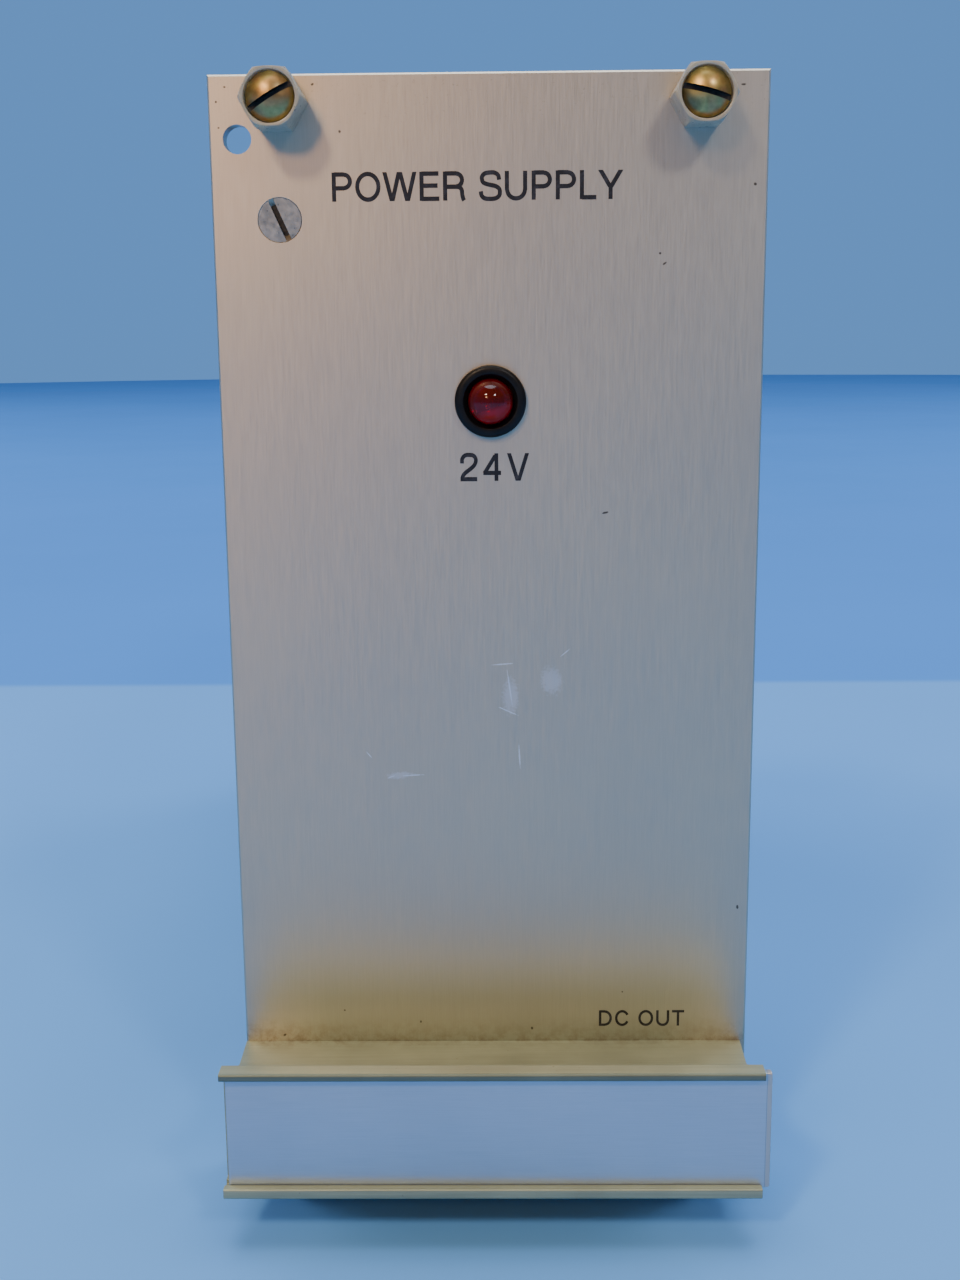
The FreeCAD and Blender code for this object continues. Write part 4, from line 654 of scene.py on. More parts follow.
# Letters as wide as they are listed, one unit tall: straight bars (x, y, x, y), hoops (x, y, half width,
# half height, first and last angle) and bends through the points listed.
STEM = 0.155
LETTERS = {
    "P": (0.90, [(0.16, 0, 0.16, 1), (0.16, 0.933, 0.54, 0.933), (0.16, 0.458, 0.54, 0.458)],
          [(0.54, 0.695, 0.30, 0.305, -90, 90)], []),
    "O": (1.06, [], [(0.53, 0.5, 0.475, 0.52, 0, 360)], []),
    "W": (1.32, [(0.10, 1, 0.36, 0), (0.64, 1, 0.38, 0), (0.68, 1, 0.94, 0), (1.22, 1, 0.96, 0)], [], []),
    "E": (0.88, [(0.16, 0, 0.16, 1), (0.16, 0.933, 0.80, 0.933), (0.16, 0.52, 0.76, 0.52), (0.16, 0.067, 0.82, 0.067)],
          [], []),
    "R": (0.98, [(0.16, 0, 0.16, 1), (0.16, 0.933, 0.58, 0.933), (0.16, 0.475, 0.58, 0.475)],
          [(0.58, 0.704, 0.29, 0.296, -90, 90)],
          [((0.56, 0.475), (0.70, 0.45), (0.78, 0.36), (0.80, 0.20), (0.83, 0.07), (0.87, 0.0))]),
    "S": (0.93, [], [], [((0.80, 0.70), (0.76, 0.86), (0.62, 0.945), (0.46, 0.95), (0.27, 0.92), (0.165, 0.82),
                          (0.16, 0.71), (0.21, 0.61), (0.34, 0.555), (0.50, 0.52), (0.68, 0.475), (0.80, 0.39),
                          (0.825, 0.27), (0.79, 0.14), (0.65, 0.06), (0.47, 0.045), (0.28, 0.06), (0.15, 0.15),
                          (0.115, 0.31))]),
    "U": (1.0, [(0.16, 0.34, 0.16, 1), (0.84, 0.34, 0.84, 1)], [(0.50, 0.36, 0.4075, 0.385, 180, 360)], []),
    "L": (0.76, [(0.16, 0, 0.16, 1), (0.16, 0.067, 0.70, 0.067)], [], []),
    "Y": (0.94, [(0.09, 1, 0.47, 0.40), (0.85, 1, 0.47, 0.40), (0.47, 0, 0.47, 0.44)], [], []),
    "D": (1.0, [(0.16, 0, 0.16, 1), (0.16, 0.933, 0.46, 0.933), (0.16, 0.067, 0.46, 0.067)],
          [(0.46, 0.5, 0.45, 0.5, -90, 90)], []),
    "C": (1.0, [], [(0.52, 0.5, 0.455, 0.52, 28, 332)], []),
    "T": (0.86, [(0.43, 0, 0.43, 1), (0.04, 0.933, 0.82, 0.933)], [], []),
    "V": (0.92, [(0.09, 1, 0.44, 0), (0.83, 1, 0.48, 0)], [], []),
    "2": (0.83, [(0.06, 0.067, 0.75, 0.067)], [],
          [((0.13, 0.64), (0.14, 0.81), (0.26, 0.93), (0.43, 0.95), (0.60, 0.92), (0.69, 0.81), (0.69, 0.69),
            (0.62, 0.56), (0.46, 0.43), (0.28, 0.31), (0.17, 0.20), (0.13, 0.07))]),
    "4": (0.84, [(0.56, 0, 0.56, 1), (0.54, 0.95, 0.09, 0.31), (0.02, 0.29, 0.75, 0.29)], [], []),
    " ": (0.40, [], [], []),
}


def letter_strips(letter):
    """Each stroke of a letter as two edge lines: a bar has level or upright ends, the others follow a curve."""
    _, bars, hoops, bends = LETTERS[letter]
    strips = []
    for x0, y0, x1, y1 in bars:
        ends = np.array(((x0, y0), (x1, y1)), float)
        level = abs(y1 - y0) < 1e-6
        half = STEM / 2 if level or x0 == x1 else STEM / 2 * math.hypot(x1 - x0, y1 - y0) / abs(y1 - y0)
        side = np.array((0, half)) if level else np.array((half, 0))
        strips.append((ends - side, ends + side))
    for x, y, wide, tall, first, last in hoops:
        lean = np.radians(np.linspace(first, last, 33))
        ring = np.stack((np.cos(lean), np.sin(lean)), axis=-1)
        strips.append((ring * (wide, tall) + (x, y), ring * (wide - STEM, tall - STEM) + (x, y)))
    for points in bends:
        line = smooth_line(np.array(points, float))
        step = np.gradient(line, axis=0)
        step /= np.linalg.norm(step, axis=1, keepdims=True)
        side = np.stack((-step[:, 1], step[:, 0]), axis=-1) * STEM / 2
        strips.append((line - side, line + side))
    return strips


def smooth_line(points, steps=5):
    """A curve through every point: between two of them a cubic whose slopes are their neighbours' chords."""
    padded = np.concatenate((2 * points[:1] - points[1:2], points, 2 * points[-1:] - points[-2:-1]))
    before, start, finish, after = padded[:-3], padded[1:-2], padded[2:-1], padded[3:]
    t = (np.arange(steps) / steps)[None, :, None]
    a, b, c, d = (part[:, None] for part in (before, start, finish, after))
    line = 0.5 * (2 * b + (c - a) * t + (2 * a - 5 * b + 4 * c - d) * t ** 2 + (3 * b - a - 3 * c + d) * t ** 3)
    return np.concatenate((line.reshape(-1, points.shape[1]), points[-1:]))


class CARD_OT_lettering(bpy.types.Operator):
    """Print the plain words on the front panel as thin ink"""
    bl_idname = "card.lettering"
    bl_label = "Lettering"

    def execute(self, context):
        ink = Finish("printed_ink", Roughness=0.45)
        ink.shader.inputs["Specular IOR Level"].default_value = 0.3
        worn = ink.noise(1.2, 5.0)
        colour = settings().ink
        ink.feed(Base_Color=ink.ramp(worn, (0.25, shade(colour, 3.0)), (0.5, colour)))
        ink.bump(ink.noise(7.0), 0.1, 0.01)
        for number, (word, left, right, foot, tall, spacing) in enumerate(WORDS, start=1):
            strips, cursor = [], 0.0
            for letter in word:
                strips += [(one + (cursor, 0), two + (cursor, 0)) for one, two in letter_strips(letter)]
                cursor += LETTERS[letter][0] + spacing
            ends = np.concatenate([np.concatenate(strip) for strip in strips])
            low, high = ends[:, 0].min(), ends[:, 0].max()
            surface = Surface()
            for height, strip in enumerate(strips):
                lift = 0.012 + 0.0004 * (height % 7)
                self.print_strip(surface, strip, lambda flat: np.stack((
                    left + (flat[..., 0] - low) / (high - low) * (right - left),
                    foot + flat[..., 1] * tall), axis=-1), lift)
            piece("lettering_%d" % number, surface, [ink.material], "root", angle=60, merge=False)
        return {"FINISHED"}

    @staticmethod
    def print_strip(surface, strip, placed, lift):
        """A strip between two edge lines, as thick as the ink; its section runs round all four edges."""
        one, two = (placed(edge) for edge in strip)
        lines = []
        for edge, rise in ((one, -0.004), (two, -0.004), (two, lift), (one, lift)):
            lines.append(np.stack((edge[:, 0], np.full(len(edge), FACE - rise), edge[:, 1]), axis=-1))
        ring = np.stack(lines, axis=1)
        run = np.cross(ring[0, 1] - ring[0, 0], ring[0, 3] - ring[0, 0]) @ (ring[1].mean(0) - ring[0].mean(0))
        surface.grid(ring if run > 0 else ring[:, ::-1])


# ---------------------------------------------------------------- screws

def slotted_head(surface, rim, dome, base, wide, deep, turn, spot, spin=0.0, neck=None):
    """A round head with a straight slot: rows of y across the slot, each as long as the circle allows.

    The height is a spherical cap over the rim and drops to the slot's floor between its two sides; the
    outline then runs down to the base, whose radius is neck, and one face closes it.  The slot's own
    faces take the second finish.
    """
    neck = rim if neck is None else neck
    half = wide / 2
    lean = np.linspace(-math.pi / 2, -math.asin(half / rim), 14)
    outer = rim * np.sin(lean)
    y = np.concatenate((outer, (-half, half), -outer[::-1]))
    floor = np.zeros(len(y), bool)
    floor[len(outer):len(outer) + 2] = True
    top = base + dome[0] + dome[1]
    swell = (rim ** 2 + dome[1] ** 2) / (2 * dome[1]) if dome[1] else 0.0
    depth = top - deep
    reach = rim if neck == rim else rim - deep
    circle = np.where(floor, reach, rim)
    half_row = np.sqrt(np.maximum(circle ** 2 - y ** 2, 0))
    share = np.sin(np.linspace(-math.pi / 2, math.pi / 2, 25))
    x = half_row[:, None] * share[None, :]
    radius2 = x ** 2 + y[:, None] ** 2
    cap = top - swell + np.sqrt(np.maximum(swell ** 2 - radius2, 0)) if dome[1] else np.full_like(x, top)
    z = np.where(floor[:, None], depth, cap)
    points = np.stack((x, np.broadcast_to(y[:, None], x.shape), z), axis=-1)
    own = np.array(((math.cos(spin), math.sin(spin), 0), (-math.sin(spin), math.cos(spin), 0), (0, 0, 1)))
    turn = own @ turn
    bands = np.zeros((len(y) - 1, len(share) - 1), int)
    # The slot's cells take the second finish, which paints the shade inside the slot.
    bands[len(outer) - 1:len(outer) + 2] = 1
    surface.grid(points, bands.ravel(), wrap_cols=False, ends=False, turn=turn, spot=spot)
    edge = np.concatenate((points[:, -1], points[::-1, 0][1:-1]))
    angle = np.arctan2(edge[:, 1], edge[:, 0])
    foot = np.stack((neck * np.cos(angle), neck * np.sin(angle), np.full(len(edge), base)), axis=-1)
    skirt = np.stack((edge, foot))
    surface.grid(skirt[::-1], ends=False, turn=turn, spot=spot)
    surface.add(foot, np.arange(len(foot))[None, ::-1], 0, turn, spot)


def threaded_shank(surface, radius, start, finish_at, turn, spot, neck=None, sides=28):
    """A shank along its own z: r = radius - depth * w, where w is a wave of height less turn over the pitch.

    The thread runs out over its last turn at both ends; neck is (radius, length) of a plain part above it.
    """
    pitch = settings().pitch
    depth = 0.55 * pitch
    rows = int((start - finish_at) / pitch * 7) + 1
    z = np.linspace(finish_at, start, rows)[:, None]
    angle = np.linspace(0, 2 * math.pi, sides, endpoint=False)[None, :]
    wave = np.abs(((z / pitch - angle / (2 * math.pi)) % 1.0) * 2 - 1)
    ends = np.clip(np.minimum(z - finish_at, start - z) / pitch, 0, 1)
    r = radius - depth * np.where(ends < 1, np.maximum(wave, 1 - ends), wave) * 0.8
    points = np.stack((r * np.cos(angle), r * np.sin(angle), np.broadcast_to(z, r.shape)), axis=-1)
    surface.grid(points, turn=turn, spot=spot)
    if neck:
        surface.lathe(((neck[0], start - 0.02), (neck[0], start + neck[1])), 40, 0, turn, spot)


def pan_screw(surface, spot, turn, length, spin=0.0):
    """A slotted pan head on its seat and the threaded shank below it."""
    slotted_head(surface, 2.25, (0.75, 0.8), 0.0, 0.6, 0.8, turn, spot, spin)
    threaded_shank(surface, 1.25, 0.0, -length, turn, spot)


def hexagon_nut(surface, spot, turn, flats=5.0, tall=2.0, bore=1.25, finish=0):
    """A nut: the lesser of a hexagon and a cone at either end, with a countersunk bore."""
    angle = np.linspace(0, 2 * math.pi, 72, endpoint=False)
    height = np.concatenate((np.linspace(0, 0.4, 5), np.linspace(tall - 0.4, tall, 5)))[:, None]
    cone = flats / 2 * 1.03 + 1.9 * np.minimum(height, tall - height)
    outer = soft_least(np.broadcast_to(hexagon_radius(angle, flats), (10, 72)), cone, 0.02)
    inner = np.array(((bore + 0.25, tall), (bore, tall - 0.25), (bore, 0.25), (bore + 0.25, 0)))
    radius = np.concatenate((outer, np.broadcast_to(inner[:, :1], (4, 72))))
    height = np.concatenate((height, inner[:, 1:]))
    points = np.stack((radius * np.cos(angle), radius * np.sin(angle), np.broadcast_to(height, radius.shape)), axis=-1)
    surface.grid(points, finish, wrap_rows=True, turn=turn, spot=spot)


class CARD_OT_collar_sleeves(bpy.types.Operator):
    """Build the four milky nylon hexagons that hold the captive screws"""
    bl_idname = "card.collar_sleeves"
    bl_label = "Nylon Sleeves"

    def execute(self, context):
        for corner in CORNERS:
            low, high = span("collar_sleeve_" + corner)
            spot = ((low[0] + high[0]) / 2, FACE, (low[2] + high[2]) / 2)
            surface = Surface()
            self.sleeve(surface, FACE - low[1], high[2] - low[2], high[1] - FACE, spot)
            piece("nylon_sleeve_" + corner, surface, [nylon(settings().sleeve)], "root",
                  ("collar_sleeve_" + corner,), angle=40)
        return {"FINISHED"}

    @staticmethod
    def sleeve(surface, reach, flats, neck, spot):
        """r is the lesser of a hexagon and a 45 degree cone; the profile goes on round the mouth and back."""
        face, mouth, floor, bore, spigot = 3.15, 2.7, 3.6, 1.33, 2.3
        angle = np.linspace(0, 2 * math.pi, 144, endpoint=False)
        height = np.concatenate(((0.0, 0.12), np.linspace(0.5, reach - 1.0, 6), np.linspace(reach - 0.9, reach, 13)))
        cone = face - 0.04 + 0.5 * (reach - height)
        back = np.where(height < 0.1, flats / 2 / math.cos(math.pi / 6) - 0.08, 9.0)
        hexagon = soft_least(hexagon_radius(angle, flats)[None, :], np.minimum(cone, back)[:, None], 0.07)
        hexagon = np.minimum(hexagon, flats / math.sqrt(3) - 0.03)
        hexagon = np.minimum(hexagon, hexagon_radius(angle, flats)[None, :])
        inner = np.array((
            (flats / 2 - 0.03, reach), (mouth + 0.12, reach), (mouth + 0.03, reach - 0.04), (mouth, reach - 0.14),
            (mouth, floor + 0.15), (mouth - 0.15, floor), (bore, floor), (bore, -neck),
            (spigot - 0.15, -neck), (spigot, -neck + 0.15), (spigot, 0.0)))
        radius = np.concatenate((hexagon, np.broadcast_to(inner[:, :1], (len(inner), len(angle)))))
        level = np.concatenate((height, inner[:, 1]))[:, None]
        points = np.stack((radius * np.cos(angle), radius * np.sin(angle),
                           np.broadcast_to(level, radius.shape)), axis=-1)
        surface.grid(points, wrap_rows=True, turn=FORWARD, spot=spot)


class CARD_OT_captive_screws(bpy.types.Operator):
    """Build the four slotted captive screws and the split washers under their heads"""
    bl_idname = "card.captive_screws"
    bl_label = "Captive Screws"

    spins = {"upper_left": 30.0, "upper_right": -15.0, "lower_left": 70.0, "lower_right": 10.0}

    def execute(self, context):
        for corner in CORNERS:
            low, high = span("captive_screw_" + corner)
            across, up = (low[0] + high[0]) / 2, (low[2] + high[2]) / 2
            seat = low[1] + 2.1
            surface = Surface()
            slotted_head(surface, 2.55, (1.0, 1.1), 0.0, 0.6, 1.2, FORWARD, (across, seat, up),
                         math.radians(self.spins[corner]))
            tip = seat - high[1]
            thread_top = seat - PANEL_HIGH[1]
            threaded_shank(surface, 1.25, thread_top, tip, FORWARD, (across, seat, up), (1.15, -thread_top))
            piece("captive_screw_steel_" + corner, surface, [chromate(), slot_shade_and_grime()], "screw_" + corner,
                  ("captive_screw_" + corner,), 0.07, 38, 3)
            washer = Surface()
            low, high = span("lock_washer_" + corner)
            self.washer(washer, (across, high[1], up))
            piece("split_washer_" + corner, washer, [chromate()], "screw_carrier_" + corner,
                  ("lock_washer_" + corner,), 0.05, 38, 2)
        return {"FINISHED"}

    @staticmethod
    def washer(surface, spot):
        """A square section carried round almost a whole turn; its two ends stand apart at the split."""
        angle = np.linspace(math.radians(7), math.radians(353), 60)
        lift = 0.04 * (angle - math.pi) / math.pi
        section = ((1.36, 0.06), (2.28, 0.06), (2.28, 0.54), (1.36, 0.54))
        rings = [np.stack((r * np.cos(angle), r * np.sin(angle), z + lift), axis=-1) for r, z in section]
        surface.grid(np.stack(rings, axis=1), turn=FORWARD, spot=spot)


class CARD_OT_bracket_screw(bpy.types.Operator):
    """Build the countersunk slotted screw of the upper bracket"""
    bl_idname = "card.bracket_screw"
    bl_label = "Countersunk Screw"

    def execute(self, context):
        low, high = span("bracket_screw")
        spot = ((low[0] + high[0]) / 2, low[1], (low[2] + high[2]) / 2)
        surface = Surface()
        slotted_head(surface, 2.35, (1.1, 0.0), -1.1, 0.6, 0.6, FORWARD, spot, math.radians(114), neck=1.25)
        threaded_shank(surface, 1.25, -1.1, low[1] - high[1], FORWARD, spot)
        finish = Finish("worn_zinc", Metallic=1.0, Anisotropic=0.3)
        cloud = finish.noise(0.45, 4.0)
        tone = finish.ramp(cloud, (0.3, (0.42, 0.41, 0.36)), (0.55, (0.54, 0.53, 0.47)), (0.75, (0.64, 0.62, 0.55)))
        finish.feed(Base_Color=tone, Roughness=finish.ramp(finish.noise(1.5), (0.3, 0.26), (0.7, 0.42)))
        finish.bump(finish.noise(4.0, 3.0), 0.12, 0.02)
        piece("countersunk_screw", surface, [finish.material, slot_shade_and_grime()], "root", ("bracket_screw",), 0.06, 34, 2)
        return {"FINISHED"}


# ---------------------------------------------------------------- lamp

class CARD_OT_lamp(bpy.types.Operator):
    """Build the lamp: black bezel, notched lock ring, red lens with its lead frame, and two leads"""
    bl_idname = "card.lamp"
    bl_label = "Lamp"

    def execute(self, context):
        centre = middle("lamp_bezel")
        spot = (centre[0], FACE, centre[2])
        self.bezel(spot)
        self.lock_ring(spot)
        self.lens(spot)
        self.leads(spot)
        return {"FINISHED"}

    @staticmethod
    def bezel(spot):
        """A flange with a half-round edge, a countersunk mouth and a plain barrel, turned about its axis."""
        rim = arc((3.5, 0.5), 0.5, -90, 90, 9)
        outer = np.concatenate((((3.15, -5.2), (3.15, 0.0)), rim, ((3.25, 1.0),), arc((3.1, 0.85), 0.15, 90, 180, 4)))
        inner = ((2.6, 0.45), (2.6, -5.2))
        surface = Surface()
        profile = np.concatenate((outer, inner))
        angle = np.linspace(0, 2 * math.pi, 96, endpoint=False)
        radius, level = profile[:, :1], profile[:, 1:]
        points = np.stack((radius * np.cos(angle), radius * np.sin(angle), level + 0 * angle), axis=-1)
        surface.grid(points, wrap_rows=True, turn=FORWARD, spot=spot)
        piece("lamp_bezel_black", surface, [black_plastic()], "root", ("lamp_bezel",), angle=40)

    @staticmethod
    def lock_ring(spot):
        """A ring whose radius dips at eight rounded notches."""
        angle = np.linspace(0, 2 * math.pi, 192, endpoint=False)
        notch = 0.35 / (1 + np.exp(-(np.cos(8 * angle) - 0.55) * 18))
        low, high = span("lamp_lock_ring")
        tall = high[1] - low[1]
        rows = ((4.1, 0.0), (4.3, 0.2), (4.3, tall - 0.2), (4.1, tall))
        outer = np.array([radius - notch for radius, _ in rows])
        radius = np.concatenate((outer, np.broadcast_to(((3.3,), (3.17,), (3.17,), (3.3,)), (4, len(angle)))))
        level = np.array([level for _, level in rows] + [tall, tall - 0.15, 0.15, 0.0])[:, None]
        points = np.stack((radius * np.cos(angle), radius * np.sin(angle),
                           np.broadcast_to(level, radius.shape)), axis=-1)
        surface = Surface()
        surface.grid(points, wrap_rows=True, turn=BACKWARD, spot=(spot[0], low[1], spot[2]))
        piece("lamp_ring_black", surface, [black_plastic()], "root", ("lamp_lock_ring",), angle=40)

    @staticmethod
    def lens(spot):
        """A dome on a barrel with a foot rim; inside it stand the cup and the post of the lead frame."""
        red = Finish("red_lens", Roughness=0.05, IOR=1.5, Transmission_Weight=0.6, Specular_IOR_Level=0.13,
                     Subsurface_Weight=0.2, Subsurface_Scale=1.2 * MM)
        red.shader.inputs["Subsurface Radius"].default_value = (1.0, 0.08, 0.05)
        colour = settings().lens
        tone = red.ramp(red.noise(0.5), (0.3, shade(colour, 0.85)), (0.7, shade(colour, 1.25)))
        across, _, up = red.axes()
        # The lens is painted a brighter red towards its lower right: painted light gathered inside the dome.
        foot = red.sum("SUBTRACT", red.sum("MULTIPLY", red.sum("SUBTRACT", across, spot[0]), 0.35),
                       red.sum("SUBTRACT", up, spot[2]))
        painted_inner_glow = red.ramp(red.sum("MULTIPLY", foot, 0.3), (0.10, 0.0), (0.55, 1.0), ease="EASE")
        red.feed(Base_Color=red.blend("MIX", tone, (0.80, 0.003, 0.010), painted_inner_glow))
        red.bump(red.noise(1.5), 0.05, 0.02)
        dome = arc((0.0, 0.8), 2.5, 0, 90, 18)
        profile = np.concatenate((((0.0, -6.2), (2.8, -6.2), (2.95, -6.05), (2.95, -5.35), (2.8, -5.22),
                                   (2.5, -5.2)), dome))
        surface = Surface()
        surface.lathe(profile, 72, turn=FORWARD, spot=spot)
        piece("lamp_lens", surface, [red.material], "root", ("lamp",), angle=50)
        frame_parts = Surface()
        frame_parts.lathe(((0.0, -2.6), (0.45, -2.6), (0.5, -1.5), (1.0, -0.9), (1.0, -0.75), (0.5, -1.2), (0.0, -1.3)),
                          32, turn=FORWARD, spot=(spot[0] - 0.6, spot[1], spot[2]))
        frame_parts.ribbon(np.array(((1.1, 0, 0), (1.1, 2.6, 0))) * (1, -1, 1) + spot + np.array((0, 2.6, 0)),
                           0.7, 0.5, (0, 0, 1))
        piece("lamp_lead_frame", frame_parts, [tin()], "root", edge=0.04)

    @staticmethod
    def leads(spot):
        """Two square pins out of the foot, each with a bead of solder where its wire begins."""
        low, high = span("lamp_leads")
        surface = Surface()
        for side in (LEFT, RIGHT):
            place = (spot[0] + side * 1.27, low[1], spot[2])
            deep = high[1] - low[1]
            profile = ((0.0, 0.0), (0.24, 0.0), (0.24, deep * 0.5), (0.25, deep * 0.62), (0.245, deep - 0.1),
                       (0.12, deep), (0.0, deep))
            surface.lathe(profile, 16, turn=BACKWARD, spot=place)
        piece("lamp_pins", surface, [tin()], "root", ("lamp_leads",), angle=50)


class CARD_OT_lamp_wires(bpy.types.Operator):
    """Finish the two insulated wires that feed the lamp"""
    bl_idname = "card.lamp_wires"
    bl_label = "Lamp Wires"

    def execute(self, context):
        repaint("lamp_wire_minus", mottled("black_insulation", (0.015, 0.015, 0.016), 0.2, 0.8, (0.35, 0.5), 5.0))
        repaint("lamp_wire_plus", mottled("red_insulation", (0.42, 0.015, 0.012), 0.12, 0.8, (0.32, 0.48), 5.0))
        return {"FINISHED"}


# ---------------------------------------------------------------- handle

def pull_profile(low, high, reach):
    """The pull's section as (forward, up): web, two hollow flares, and lips hooked round the strip's groove."""
    axis = (low + high) / 2
    lip, shelf = (high - low) / 2, reach - 2.5
    flare = hollow((5.4, 2.15), (shelf, lip - 0.12), 40.0, 14)
    inside = reach - 1.0
    back = inside - 1.2
    floor = back - 0.8
    upper = np.concatenate((
        ((0.0, 2.45),), flare,
        arc((shelf + 0.35, lip - 0.3), 0.3, 112, 90, 3),
        arc((reach - 0.3, lip - 0.3), 0.3, 90, 0, 6),
        arc((reach - 0.16, lip - 0.69), 0.16, 0, -90, 4),
        ((inside, lip - 0.85), (inside, lip - 0.35), (back, lip - 0.35), (back, lip - 0.85), (floor, lip - 0.85)),
    ))
    lower = np.concatenate((
        ((floor, 1.25 - lip), (back, 1.25 - lip), (back, 0.75 - lip), (inside, 0.75 - lip), (inside, 1.25 - lip)),
        arc((reach - 0.16, 1.09 - lip), 0.16, 90, 0, 4),
        arc((reach - 0.35, 0.35 - lip), 0.35, 0, -90, 6),
        arc((shelf + 0.35, 0.3 - lip), 0.3, -90, -112, 3),
        flare[::-1] * (1, -1), ((0.0, -2.45),),
    ))
    return np.concatenate((upper, lower)) + (0, axis)


def hollow(start, finish, radius, steps):
    """Points of the short arc between two points that curves towards the web."""
    start, finish = np.array(start), np.array(finish)
    chord = finish - start
    length = np.hypot(*chord)
    normal = np.array((-chord[1], chord[0])) / length
    centre = (start + finish) / 2 + normal * math.sqrt(radius ** 2 - length ** 2 / 4)
    first, last = (math.atan2(*(end - centre)[::-1]) for end in (start, finish))
    lean = np.linspace(first, last, steps)
    return centre + radius * np.stack((np.cos(lean), np.sin(lean)), axis=-1)


def pull_metal(colour):
    """Extruded aluminium with die lines along the handle, painted shade on the lips' front faces and grime in its
    corners.
    """
    finish = Finish("drawn_handle", Metallic=0.55, Anisotropic=0.2)
    lines = finish.streaks(7.0, (0.012, 1, 1))
    cloud = finish.noise(0.12, 4.0)
    tone = finish.ramp(lines, (0.3, shade(colour, 0.86)), (0.7, shade(colour, 1.14)))
    tone = finish.blend("MULTIPLY", tone, finish.ramp(cloud, (0.35, 0.84), (0.65, 1.0)))
    across, along, up = finish.axes()
    near = finish.sum("SUBTRACT", FACE, along)
    reach = FACE - span("handle")[0][1]
    # The lips' front faces, the upper one most, are darkened and cooled: painted shade.
    lip_front_shade = finish.ramp(finish.sum("SUBTRACT", near, reach - 0.5), (0.12, 0.0), (0.34, 1.0))
    upper = finish.ramp(finish.sum("SUBTRACT", up, middle("handle")[2]), (0.0, 0.25), (1.0, 1.0))
    tone = finish.blend("MULTIPLY", tone, (0.38, 0.42, 0.46), finish.sum("MULTIPLY", lip_front_shade, upper))
    root = finish.ramp(finish.sum("MULTIPLY", near, 0.4), (0.0, 0.8), (0.12, 0.5), (0.45, 0.25), (1.0, 0.0))
    patchy = finish.ramp(finish.noise(0.75, 6.0, 0.7), (0.42, 0.0), (0.62, 1.0))
    left = finish.ramp(finish.sum("MULTIPLY", finish.sum("ADD", across, 30.3), 0.02), (0.08, 1.0), (0.3, 0.5))
    grime = finish.sum("MULTIPLY", finish.sum("MULTIPLY", root, patchy), left)
    tone = finish.blend("MIX", tone, (0.14, 0.085, 0.045), grime)
    specks = finish.ramp(finish.noise(1.6, 5.0, 0.7), (0.66, 0.0), (0.74, 0.55))
    tone = finish.blend("MIX", tone, (0.08, 0.065, 0.04), specks)
    finish.feed(Base_Color=tone, Roughness=finish.ramp(lines, (0.3, 0.40), (0.7, 0.56)))
    finish.bump(lines, 0.14, 0.015)
    return finish.material


class CARD_OT_pull_handle(bpy.types.Operator):
    """Build the extruded pull handle with its flared flanks and hooked lips"""
    bl_idname = "card.pull_handle"
    bl_label = "Pull Handle"

    def execute(self, context):
        low, high = span("handle")
        section = pull_profile(low[2], high[2], FACE - low[1])
        across = np.linspace(low[0], high[0], 2)
        points = np.stack((
            np.broadcast_to(across[:, None], (2, len(section))),
            np.broadcast_to(FACE - section[:, 0], (2, len(section))),
            np.broadcast_to(section[:, 1], (2, len(section)))), axis=-1)
        surface = Surface()
        surface.grid(points)
        piece("drawn_handle", surface, [pull_metal(settings().pull)], "root", ("handle",), 0.05, 38, 2)
        return {"FINISHED"}


STRIP_MARKS = (
    (19.2, 9.2, 0.12, 0.8, 25), (19.9, 8.6, 0.5, 0.12, 0), (20.2, 9.3, 0.1, 0.5, 0),
    (12.9, 17.6, 0.7, 0.06, -35), (16.6, 14.6, 0.6, 0.06, 50), (22.0, 19.2, 0.16, 0.1, 0),
)


